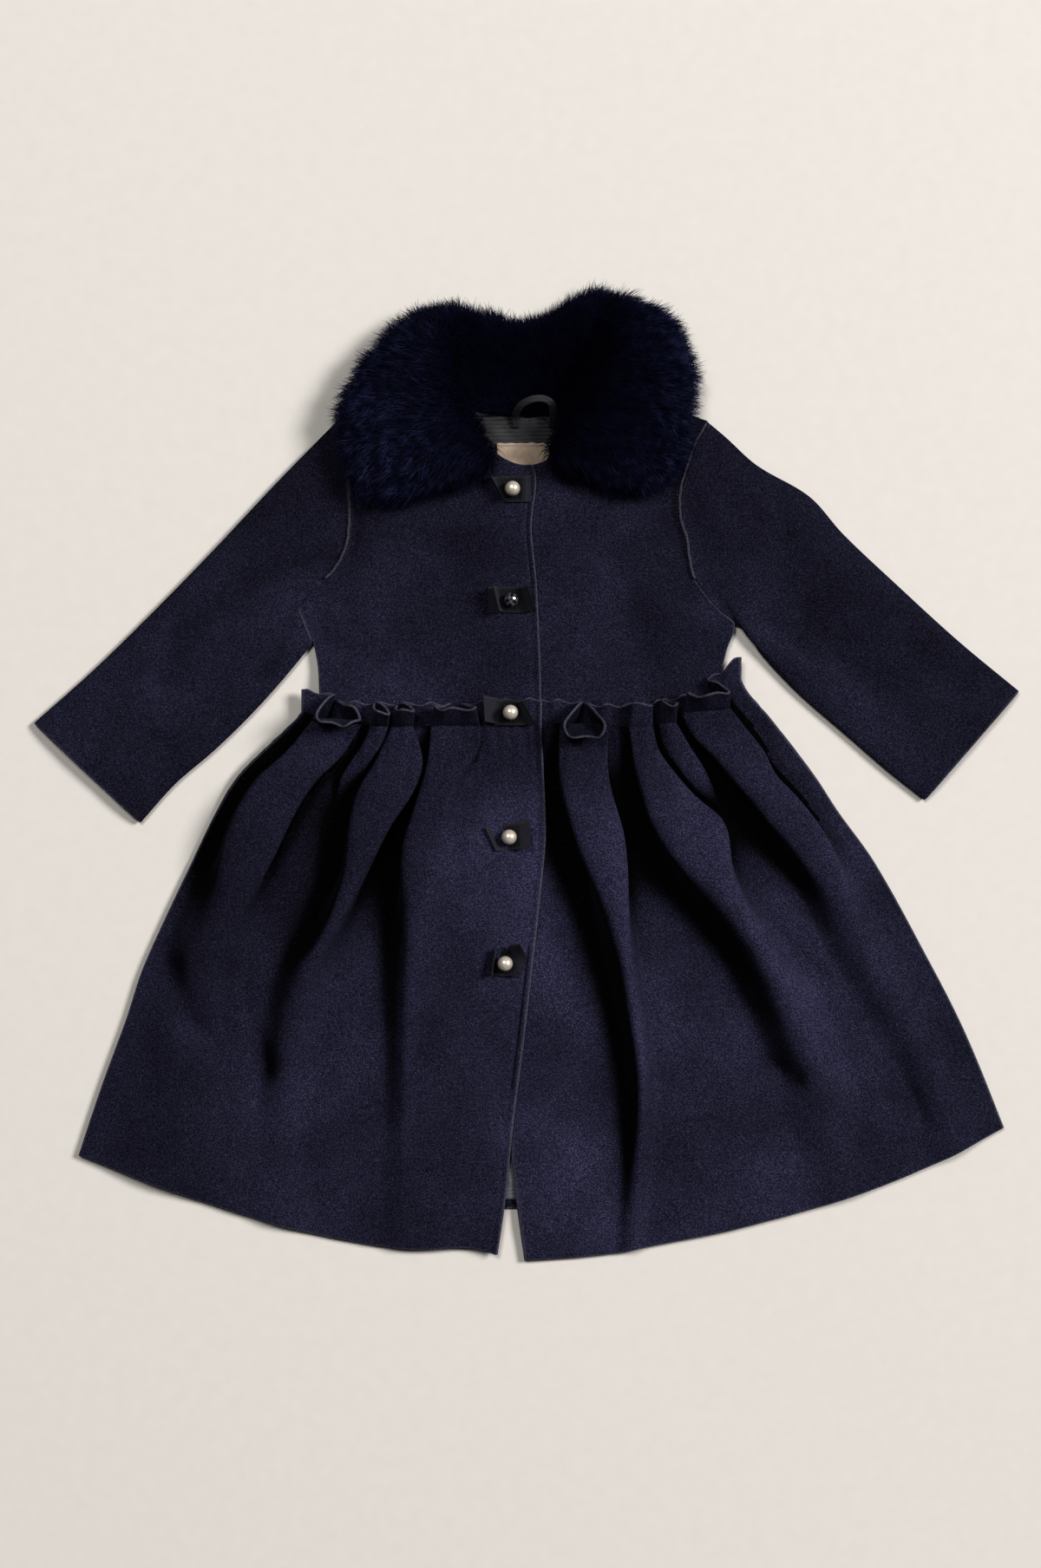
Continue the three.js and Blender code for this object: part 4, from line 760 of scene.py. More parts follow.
def pelt_finish():
    """Skin and dense underfur below the pile."""
    made, tree, shader, place = material("Underfur", 0.95, Specular_IOR_Level=0.1)
    downy = noise(tree, place, 700.0, 4.0, Roughness=0.7)
    colour = blended(tree, downy, (0.0012, 0.0013, 0.004, 1), (0.006, 0.007, 0.018, 1))
    surface(tree, shader, colour, None, downy, 0.0015)
    return made


def thread_finish():
    """Sewing thread with its twist."""
    made, tree, shader, place = material("Sewing thread", 0.6, Sheen_Weight=0.2)
    twist = streaks(tree, place, (0, 0, 0.8), (2500.0, 600.0, 2500.0))
    surface(tree, shader, blended(tree, twist, (0.006, 0.006, 0.012, 1), (0.035, 0.035, 0.055, 1)))
    return made


def floor_finish():
    """The pale surface that the coat lies on."""
    made, tree, shader, place = material("Pale floor", 0.9, Specular_IOR_Level=0.1)
    grain = noise(tree, place, 90.0, 3.0)
    surface(tree, shader, blended(tree, grain, (0.50, 0.483, 0.463, 1), (0.53, 0.512, 0.492, 1)))
    return made


WOOL_FACE = wool_finish("Navy wool, face", (0.0078, 0.0076, 0.0158, 1), (0.05, 0.0485, 0.087, 1))
WOOL_BACK = wool_finish(
    "Navy wool, inner side", (0.004, 0.004, 0.0085, 1), (0.024, 0.0235, 0.042, 1), 820.0, 0.2)
# The cut edge's lighter colour is partly raw fibres and partly a painted highlight where the edge catches the
# light
WOOL_CUT = wool_finish(
    "Navy wool, cut edge", (0.026, 0.0255, 0.036, 1), (0.11, 0.108, 0.14, 1), 1300.0, 0.2, 0.5)
SLEEVE_LINING = satin_finish(
    "Dark sleeve lining", (0.004, 0.004, 0.007, 1), (0.013, 0.013, 0.02, 1), 0.38, 0.0005)
NECK_SATIN = satin_finish("Dark neck satin", (0.003, 0.0028, 0.005, 1), (0.009, 0.0085, 0.013, 1), 0.5, 0.0006)
GREY_LINING = satin_finish("Grey skirt lining", (0.09, 0.09, 0.105, 1), (0.17, 0.17, 0.19, 1), 0.42, 0.0006)
GROSGRAIN = ribbon_finish()
LABEL = label_finish()
METAL = metal_finish()
STONES = stone_finish()
SETTING = setting_finish()
THREAD = thread_finish()
UNDERFUR = pelt_finish()
FUR = fur_finish()
CLOTH = (WOOL_FACE, WOOL_BACK, WOOL_CUT)


# ---------------------------------------------------------------- bodice

def near_waist(x, y):
    """1 under the frill and below the waist seam, 0 on the chest."""
    return 1 - smooth(FRILL + 2, FRILL + 26, y - y_at(WAIST_SEAM, x))


def lapped(x):
    """1 where the left front laps over the right one."""
    return smooth(-56, -19, x)


def right_front_level(x, y):
    side_fall = 1.4 * smooth(104, 156, np.abs(x)) * (1 - smooth(100, 160, y))
    chest = BODICE_TOP - side_fall - relief(BODICE_CREASES, x, y)
    return lerp(chest, WAIST_LEVEL - WOOL - SEAM_GAP - 0.1, near_waist(x, y))


def left_front_level(x, y):
    return right_front_level(x, y) + lapped(x) * lerp(LAP_RISE, WAIST_LAP_RISE, near_waist(x, y))


def back_bodice_level(x, y):
    return WOOL + 3.9 * near_waist(x, y)


def bodice_bottom(x):
    return y_at(WAIST_SEAM, x) - SEAM_TUCK


def arm_side(armhole, gap, sleeve):
    """A bodice panel's side along an armhole, and how far down the sleeve goes beside it."""
    return dict(x=lambda y: x_at(armhole, y) + gap, top=SHOULDER_Y, arm_end=sleeve["by"][0])


ARM_LEFT = arm_side(LEFT_ARMHOLE, ARMHOLE_GAP, LEFT_SLEEVE)
ARM_RIGHT = arm_side(RIGHT_ARMHOLE, -ARMHOLE_GAP, RIGHT_SLEEVE)


def neck_line(x, neck):
    """The bodice's upper edge: the neckline, then the shoulder seam out to the armhole."""
    tip = np.where(x < 0, -ARM_LEFT["x"](SHOULDER_Y), ARM_RIGHT["x"](SHOULDER_Y))
    root_x, root_y = neck["x"][-1], neck["y"][-1]
    out = np.abs(x)
    shoulder = lerp(root_y, SHOULDER_Y, (out - root_x) / (tip - root_x))
    return np.where(out < root_x, y_at(neck, out), shoulder)


def side_share(i, arm_end, bottom):
    """Share of the way down a bodice's side at its step i."""
    underarm = (SHOULDER_Y - arm_end) / (SHOULDER_Y - bottom)
    over_arm = underarm * (1 - np.cos(np.pi * np.minimum(i, ARM_ROWS) / ARM_ROWS)) / 2
    return np.where(i <= ARM_ROWS, over_arm, lerp(underarm, 1, (i - ARM_ROWS) / (SIDE_ROWS - ARM_ROWS)))


def panel_side(i, side):
    """The x where a side starts and where it ends, and its x and share of the way down at the steps i."""
    foot = side["x"](SIDE_FOOT)
    bottom = bodice_bottom(foot)
    share = side_share(i, side["arm_end"], bottom)
    return side["x"](side["top"]), foot, side["x"](lerp(side["top"], bottom, share)), share


def bodice_grid(left, right, neck, level, columns, rows=84):
    """Points of a panel between its two sides, from the neck and shoulder down to the waist seam."""
    i = SIDE_ROWS * shares(rows, 0.003)[:, None]
    u = shares(columns, 0.006)[None, :]
    (top_left, foot_left, left_x, left_v), (top_right, foot_right, right_x, right_v) = (
        panel_side(i, side) for side in (left, right))
    x = lerp(left_x, right_x, u)
    top = neck_line(lerp(top_left, top_right, u), neck)
    y = lerp(top, bodice_bottom(lerp(foot_left, foot_right, u)), lerp(left_v, right_v, u))
    return np.stack([x, y, level(x, y)], axis=2)


def edge_relief(x, y):
    """The front edge's raised double line: a rolled edge and a stitched groove behind it."""
    back = x_at(FRONT_EDGE, y) - x
    return 0.9 * np.exp(-(((back - 1.4) / 1.4) ** 2)) - 1.0 * np.exp(-(((back - 4.4) / 1.0) ** 2))


def armhole_relief(x, y, armhole, inward):
    """The cloth rises a little to the armhole seam."""
    off = (x - x_at(armhole, y)) * inward
    return (0.8 * np.exp(-((off / 3.0) ** 2)) - 0.8 * np.exp(-(((off - 6) / 2.5) ** 2))) * smooth(150, 170, y)


def soft_bodice(x, y, seed):
    """The bodice's own slow waves."""
    return 0.45 * unevenness(x, y, 55, seed) + 0.16 * unevenness(x, y, 18, seed + 1)


def left_front_look(x, y):
    soft = soft_bodice(x, y, 11) * smooth(0, 8, x_at(FRONT_EDGE, y) - x)
    return left_front_level(x, y) + soft + edge_relief(x, y) + armhole_relief(x, y, LEFT_ARMHOLE, 1)


def right_front_look(x, y):
    soft = soft_bodice(x, y, 21) * smooth(6, 30, x)
    return right_front_level(x, y) + soft + armhole_relief(x, y, RIGHT_ARMHOLE, -1)


def bodice_front(name, grid):
    # Painted shade: the wool's colour darkens in the bodice creases
    depth = CREASE_SHADE * np.tanh(np.maximum(0, relief(BODICE_CREASES, grid[..., 0], grid[..., 1])) / 1.6)
    return shaded(cloth_wall(name, grid, WOOL, CLOTH, straight_down=True), depth)


def bodice_front_left():
    centre = dict(x=lambda y: x_at(FRONT_EDGE, y), top=NECK_Y, arm_end=ARM_LEFT["arm_end"])
    grid = bodice_grid(ARM_LEFT, centre, FRONT_NECK, left_front_look, 96)
    return bodice_front("left_front_bodice", grid)


def bodice_front_right():
    centre = dict(x=lambda y: x_at(UNDER_EDGE, y), top=NECK_Y, arm_end=ARM_RIGHT["arm_end"])
    grid = bodice_grid(centre, ARM_RIGHT, FRONT_NECK, right_front_look, 70)
    return bodice_front("right_front_bodice", grid)


def bodice_back():
    grid = bodice_grid(ARM_LEFT, ARM_RIGHT, BACK_NECK, back_bodice_level, 50, 40)
    return cloth_wall("back_bodice", grid, WOOL, (WOOL_BACK, WOOL_FACE, WOOL_CUT), straight_down=True)


# ---------------------------------------------------------------- sleeves

def sleeve(name, rows, armhole, side, seed):
    """A flattened tube from the armhole to the cuff, flat below and crowned above."""
    t = np.sort(np.concatenate([np.linspace(0, 1, 78), [0.01, 0.03, 0.995]]))[:, None]
    count = 112  # columns round the tube
    across = -np.cos(np.arange(count) / count * 2 * np.pi)[None, :]
    on_top = np.arange(count)[None, :] <= count // 2
    flat = np.sqrt(1 - across**8)

    def plan(s, along):
        straight_x = lerp(rows["ax"][0], rows["bx"][0], s)
        straight_y = lerp(rows["ay"][0], rows["by"][0], s)
        seam_y = lerp(armhole["y"][0], rows["by"][0], s)
        pull = (1 - along) ** 3
        x = lerp(read(rows, "t", "ax", along), read(rows, "t", "bx", along), s)
        y = lerp(read(rows, "t", "ay", along), read(rows, "t", "by", along), s)
        return (x + (x_at(armhole, seam_y) + side * ARMHOLE_GAP - straight_x) * pull,
                y + (seam_y - straight_y) * pull)

    def upper_level(place, x, y):
        full = np.sqrt(1 - np.abs(place) ** 3.2)
        crease = relief(SLEEVE_CREASES, x, y) * smooth(0, 0.5, full) * smooth(0.04, 0.2, t)
        soft = (0.5 * unevenness(x, y, 60, seed) + 0.2 * unevenness(x, y, 20, seed + 1)) * smooth(0, 0.6, full)
        free = SLEEVE_EDGE + (read(rows, "t", "crown", t) - crease + soft - SLEEVE_EDGE) * full
        lowest = SLEEVE_EDGE + (2 * SLEEVE_WALL + 0.5 - SLEEVE_EDGE) * full
        easing = 0.4 * full + 1e-6
        free = lowest + easing * np.logaddexp(0, (free - lowest) / easing)
        sewn = np.minimum(free, right_front_level(x, y) - 0.2)
        return lerp(sewn, free, smooth(0.02, 0.14, t))

    x, y = plan((across + 1) / 2, t)
    # Painted shade: the wool's colour darkens in the creases on the sleeve's upper side
    depth = CREASE_SHADE * np.tanh(np.maximum(0, relief(SLEEVE_CREASES, x, y)) / 4) * on_top
    outer = np.stack([x, y, np.where(on_top, upper_level(across, x, y), SLEEVE_EDGE * (1 - flat))], axis=2)
    width = np.hypot(*(read(rows, "t", a, t) - read(rows, "t", b, t) for a, b in (("ax", "bx"), ("ay", "by"))))
    drawn_in = across * (1 - 12 / width)
    x, y = plan((drawn_in + 1) / 2, lerp(0.014, 1, t))
    opened = np.minimum(1, 2 * flat)
    lower = lerp(SLEEVE_EDGE, SLEEVE_WALL, flat) + 0 * x
    upper = lerp(SLEEVE_EDGE, upper_level(drawn_in, x, y) - SLEEVE_WALL, opened)
    inner = np.stack([x, y, np.where(on_top, np.maximum(upper, lower + 0.4 * opened), lower)], axis=2)
    if side > 0:
        outer, inner, depth = outer[:, ::-1], inner[:, ::-1], depth[:, ::-1]
    wall = (WOOL_FACE, SLEEVE_LINING, WOOL_CUT)
    return shaded(cloth_wall(name, outer, SLEEVE_WALL, wall, ring=True, inner=inner, bulge=0.1), depth)


# ---------------------------------------------------------------- skirt

def fullness(v):
    """How much of a fold's undercut is left at v: the folds open out below the waist."""
    return 1 - smooth(0, 0.5, v)


def open_folds(v):
    """1 where the folds stand deepest, 0 at the waist seam and the hem."""
    return smooth(0.02, 0.22, v) * (1 - smooth(0.7, 1, v))


def skirt_level(v):
    return lerp(WAIST_LEVEL, HEM_LEVEL, v**0.5)


def run_out(stretch, share, v):
    """Height that the crest beside the front edge still has on its way down to that edge."""
    left = 1 if stretch["stand"] else 1 - smooth(0, 1, share)
    return stretch["slope"](v) * lerp(RUN_OUT, 1, smooth(0.14, 0.26, v)) * left * smooth(0.08, 0.2, v)


def stretches(folds, ends):
    """Splits a front into plain stretches and folds, from its left edge to its right edge."""
    def line(path, key, shift=0.0, side=None, closing=0.0):
        return dict(x=lambda v: read(path, "v", key, v) + shift * fullness(v), side=side, closing=closing)

    listed = []
    slope = None
    last = line(ends[0]["path"], "x", side=ends[0]["side"])

    def plain(following):
        edge = last["side"] or following["side"]
        width = following["x"](0.0) - last["x"](0.0)
        listed.append(dict(
            start=last, end=following, steps=max(10, int(width / 1.6)), rise=lambda v: 0 * v,
            lean=0, undercut=0, stand=0 if edge else PLAIN_STAND, slope=slope))

    for fold in folds:
        path = fold["path"]
        closing = LOOP_CLOSING * (path["right"][0] - path["left"][0])
        start = line(path, "left", fold["undercut"], closing=closing)
        end = line(path, "right", -fold["undercut"], closing=-closing)
        plain(start)
        rise = (lambda p: lambda v: np.maximum(0, read(p, "v", "rise", v)))(path)
        slope = rise if fold.get("runs_out") else None
        listed.append(dict(fold, start=start, end=end, steps=52, rise=rise, slope=slope))
        last = end
    plain(line(ends[1]["path"], "x", side=ends[1]["side"]))
    return listed


SWING_PEAK = 1.3  # greatest value of sin(a) (1 - cos(a))


def skirt_points(stretch, share, v, above, plan, seed):
    """Points of a skirt front. v is 0 at the waist seam and 1 at the hem. above is the height on the frill."""
    start, end = stretch["start"]["x"], stretch["end"]["x"]
    angle = share * 2 * np.pi
    swell = (1 - np.cos(angle)) / 2
    crest = lerp(swell, swell**0.8, smooth(0.02, 0.2, v) * (1 - smooth(0.4, 0.8, v)))
    undercut = stretch["undercut"] * fullness(v)
    swing = undercut + (end(v) - start(v)) / 3 * smooth(0, stretch["undercut"] * 0.7, undercut)
    if stretch["undercut"]:
        swing = swing * smooth(0.5, 4, stretch["rise"](v))
    if stretch["slope"] and stretch["stand"]:
        swing = swing * (1 - (share > 0.5) * smooth(0.02, 0.12, v))
    lean = stretch["lean"] * swell * np.exp(-((v / 0.08) ** 1.5)) * (1 + above / FRILL / 2)
    slant = FOLD_SLANT * (end(v) - start(v)) * swell * (stretch["stand"] > PLAIN_STAND) * smooth(0.02, 0.22, v)
    slant = slant * (1 - smooth(0.25, 0.7, v)) * (stretch["slope"] is None)
    aside = lean + slant - swing * np.sin(angle) * (1 - np.cos(angle)) / SWING_PEAK
    waist_x = np.clip(lerp(start(0.0), end(0.0), share), WAIST_SEAM["x"][0], WAIST_SEAM["x"][-1])
    hem_x = np.clip(lerp(start(1.0), end(1.0), share), plan["hem"]["x"][0], plan["hem"]["x"][-1])
    waist_y = y_at(WAIST_SEAM, waist_x)
    y = lerp(waist_y, y_at(plan["hem"], hem_x), v)
    raised = above / FRILL
    from_x, to_x = (stretch[side]["x"](v) + stretch[side]["closing"] * raised for side in ("start", "end"))
    x = lerp(from_x, to_x, share) + aside
    for side, weight in (("start", 1 - smooth(0, 1, share)), ("end", smooth(0, 1, share))):
        if stretch[side]["side"]:
            reach = stretch[side]["x"]
            edge_y = lerp(y_at(WAIST_SEAM, reach(0.0)), y_at(plan["hem"], reach(1.0)), v)
            x = x + (x_at(plan["edges"][stretch[side]["side"]], edge_y) - reach(v)) * weight
    tip = np.radians(stretch["stand"]) * swell
    inward = np.minimum(x - x_at(LEFT_SIDE, y), x_at(RIGHT_SIDE, y) - x)
    lap = plan["lap_rise"](v) * lapped(x)
    ground = skirt_level(v) + lap
    fall = (ground - SEAM_LEVEL) * (1 - smooth(0, 20, inward)) * smooth(0.015, 0.09, v)
    crease = relief(SKIRT_CREASES, x, y) * smooth(0.1, 0.3, v)
    lowest = lerp(skirt_level(v), SEAM_LEVEL, smooth(0.02, 0.3, v)) + lap
    high = stretch["rise"](v) * crest
    if stretch["slope"]:
        eased = run_out(stretch, share, v)
        joined = eased + 0.5 * np.logaddexp(0, (high - eased) / 0.5)
        high = lerp(high, joined, smooth(0.35, 0.5, share)) if stretch["stand"] else np.maximum(high, eased)
    level = np.maximum(lowest, ground + high * (1 + FOLD_DEPTH * open_folds(v)) - fall - crease)
    # The seam's stitched groove, gathers that radiate from it, and the cloth's own soft waves
    below = v * (waist_y - y) / np.maximum(v, 1e-6)
    groove = 0.9 * np.exp(-((np.where(above > 0, above, below) / 1.5) ** 2))
    gathers = 0.55 * np.sin(x * 2 * np.pi / 9.5 + 1.7 * unevenness(x, y, 30, seed))
    gathers = gathers * np.exp(-((v / 0.09) ** 1.2))
    ripple = 2 * np.pi * x / 19 + 1.2 * unevenness(x, y, 34, seed + 5)
    free = raised * smooth(0, 6, inward)
    y = y + 1.3 * np.sin(ripple) * free**1.5
    level = level + 1.5 * np.cos(ripple) * free
    held = smooth(0, 8, inward)
    soft = 0.6 * unevenness(x, y, 70, seed + 1) + 0.2 * unevenness(x, y, 22, seed + 2)
    soft = soft * smooth(0.02, 0.2, v) * held
    level = level - groove + gathers * np.where(above > 0, 0.5, 1) + soft + plan["edge_relief"](x, y, v)
    return np.stack([x + 0 * level, y + above * np.cos(tip) + 0 * level, level + above * np.sin(tip)], axis=2)


def painted_fold_shade(grid):
    """How much light each place of a skirt front loses to the folds beside it, from 0 to 1: a painted shade
    that darkens the wool's colour in the valleys.

    The light is stronger from the right, so the fold on that side takes more of it away."""
    x, z = grid[..., 0], grid[..., 2]
    open_sky = np.zeros(x.shape)
    for row in range(len(x)):
        across = x[row][None, :] - x[row][:, None]
        rise = np.maximum(z[row][None, :] - z[row][:, None], 0)
        steep = rise / np.maximum(np.hypot(rise, across), 0.5)
        for side, weight in ((across > 2, 0.85), (across < -2, 0.15)):
            open_sky[row] += weight * np.sqrt(1 - np.minimum(1, (steep * side).max(axis=1)) ** 2)
    return 1 - open_sky


def skirt_front(name, folds, ends, plan, seed):
    """A front of the skirt with the frill above it, as a row of plain stretches and folds."""
    rows = np.concatenate([
        [0, 0.001, 0.003, 0.006], np.linspace(0.011, 0.12, 16), np.linspace(0.13, 0.993, 54), [0.998, 1]])
    on_frill = FRILL * np.array([1, 0.96, 0.84, 0.7, 0.56, 0.42, 0.28, 0.16, 0.08])
    above = np.concatenate([on_frill, np.zeros(len(rows))])
    v = np.concatenate([np.zeros(len(on_frill)), rows])
    columns = []
    listed = stretches(folds, ends)
    for k, stretch in enumerate(listed):
        share = np.linspace(0, 1, stretch["steps"] + 1)
        share = share if k == len(listed) - 1 else share[:-1]
        columns.append(skirt_points(stretch, share[None, :], v[:, None], above[:, None], plan, seed))
    grid = np.concatenate(columns, axis=1)
    piece = cloth_wall(name, grid, WOOL, CLOTH)
    # Painted shade: the wool's colour darkens where the folds hide the light, less near the waist and not on
    # the frill
    return shaded(piece, painted_fold_shade(grid) * (lerp(0.4, 1, smooth(0.01, 0.13, v)) * (above == 0))[:, None])


def skirt_front_left():
    return skirt_front("left_front_skirt", LEFT_FOLDS, LEFT_ENDS, dict(
        hem=LEFT_HEM,
        edges=dict(left=LEFT_SIDE, right=FRONT_EDGE),
        lap_rise=lambda v: lerp(WAIST_LAP_RISE, LAP_RISE, smooth(0, 0.12, v)),
        edge_relief=lambda x, y, v: edge_relief(x, y),
    ), 31)


def skirt_front_right():
    return skirt_front("right_front_skirt", RIGHT_FOLDS, RIGHT_ENDS, dict(
        hem=RIGHT_HEM,
        edges=dict(left=UNDER_EDGE, right=RIGHT_SIDE),
        lap_rise=lambda v: 0 * v,
        edge_relief=lambda x, y, v: 0 * x,
    ), 41)


def skirt_back():
    """The back skirt, flat on the table, with pleats pressed into it from below."""
    share = shares(104, 0.003)[None, :]
    v = np.concatenate([[0], shares(56, 0.004)])[:, None]
    above = np.zeros_like(v)
    above[0] = FRILL
    waist_x, hem_x = lerp(-164, 159, share), lerp(-336, 357, share)
    y = lerp(y_at(WAIST_SEAM, waist_x), y_at(BACK_HEM, hem_x), v)
    left_x = x_at(LEFT_SIDE, lerp(50, -283, v))
    right_x = x_at(RIGHT_SIDE, lerp(72, -262, v))
    x = lerp(left_x, right_x, share)
    depth = np.zeros_like(x)
    for waist, hem, width in zip(*BACK_PLEATS.values()):
        off = np.abs(x - lerp(waist, hem, v))
        depth = np.maximum(depth, 1 - smooth(0, 1, off / (width * (1 + v) * 0.5)))
    depth = depth * 1.4 * (1 - smooth(0.1, 0.85, v))
    grid = np.stack([x, y + above, WOOL + depth], axis=2)
    return cloth_wall("back_skirt", grid, WOOL, (WOOL_BACK, WOOL_FACE, WOOL_CUT), straight_down=True)


# ---------------------------------------------------------------- fur collar

def pelt_pad(outline, bottom_at, top_at, inset, drop, rings=16, around=120):
    """A rounded pad over an outline, drawn in and lowered by the depth of the pile that stands on it.

    inset gives how far it is drawn in at each height y."""
    rim = closed_curve(outline, around)
    tangent = np.roll(rim, -1, axis=0) - np.roll(rim, 1, axis=0)
    rim = rim - unit(np.stack([tangent[:, 1], -tangent[:, 0]], axis=1)) * inset(rim[:, 1:])
    centre = rim.mean(axis=0)
    r = np.sin(np.linspace(0.06, 1, rings) * np.pi / 2)[:, None, None]
    plan = centre + (rim - centre)[None] * r
    x, y = plan[..., 0], plan[..., 1]
    top, bottom = top_at(x, y) - drop, bottom_at(x, y)
    middle = lerp(bottom, top, 0.42)
    upper = middle + (top - middle) * np.sqrt(np.maximum(0, 1 - r[..., 0] ** 3.4))
    lower = middle + (bottom - middle) * np.sqrt(np.maximum(0, 1 - r[..., 0] ** 7))
    sides = [np.stack([x, y, upper], axis=2), np.stack([x, y, lower], axis=2)[:-1]]
    tips = np.array([[*centre, upper[0].mean()], [*centre, lower[0].mean()]])
    index = np.arange(rings * around).reshape(rings, around)
    under = np.concatenate([index[:-1] + rings * around, index[-1:]])
    faces = []
    for rows, flip in ((index, False), (under, True)):
        looped = closed(rows)
        tip = (2 * rings - 1) * around + flip
        for made in (quads(looped), [[tip, a, b] for a, b in zip(looped[0, :-1], looped[0, 1:])]):
            faces += [face[::-1] for face in made] if flip else made
    return np.concatenate([side.reshape(-1, 3) for side in sides] + [tips]), faces


def leaf_bottom(x, y):
    on_left = left_front_level(np.minimum(x, -19), 210) + 0.8 + 2.4 * smooth(100, 128, np.abs(x))
    on_right = BODICE_TOP + 0.8 + 2.4 * smooth(100, 120, x)
    return lerp(np.where(x < 0, on_left, on_right), 4, smooth(298, 314, y))


def leaf_top(x, y):
    return BODICE_TOP + LEAF_HEIGHT - 5 * (1 - smooth(200, 240, y)) - 3 * smooth(300, 360, y)


def back_top(x, y):
    return 10 + (COLLAR_BACK_HEIGHT - 10) * smooth(280, 340, y)


LOWEST_PILE = 0.2 * MM  # no lock of the collar reaches below this
NECK_CENTRE = (4, 268)  # the pile is combed away from here


def combed(piece, bias):
    """Stores the direction in which the pile is combed, for each vertex of a pelt."""
    points = np.empty(len(piece.data.vertices) * 3)
    piece.data.vertices.foreach_get("co", points)
    points = points.reshape(-1, 3) / MM
    out = unit(points[:, :2] - np.array(NECK_CENTRE))
    swirl = 0.5 * unevenness(points[:, 0], points[:, 1], 45, 51)
    comb = np.stack([
        out[:, 0] + bias[0] + swirl * out[:, 1], out[:, 1] + bias[1] - swirl * out[:, 0], np.zeros(len(points)),
    ], axis=1)
    stored_comb = piece.data.attributes.new("comb", "FLOAT_VECTOR", "POINT")
    stored_comb.data.foreach_set("vector", comb.astype(np.float32).ravel())


def vector(tree, x, y, z):
    """A vector from three numbers."""
    return add(tree, "ShaderNodeCombineXYZ", {"X": x, "Y": y, "Z": z}).outputs[0]


def remembered(tree, shape, name, value, domain):
    """The shape with a value stored under a name."""
    inputs = {"Geometry": shape, "Name": name, "Value": value}
    return add(tree, "GeometryNodeStoreNamedAttribute", inputs, data_type="FLOAT", domain=domain).outputs[0]


def placed(tree, points, shape, rotation, size=None):
    """A copy of the shape on each point, turned and scaled."""
    inputs = {"Points": points, "Instance": shape, "Rotation": rotation}
    if size is not None:
        inputs["Scale"] = size
    return add(tree, "GeometryNodeInstanceOnPoints", inputs).outputs[0]


def real_pieces(tree, copies, finish):
    """The copies as one smooth mesh with its material."""
    real = add(tree, "GeometryNodeRealizeInstances", {0: copies})
    soft = add(tree, "GeometryNodeSetShadeSmooth", {0: real.outputs[0]})
    return add(tree, "GeometryNodeSetMaterial", {"Geometry": soft.outputs[0], "Material": finish}).outputs[0]


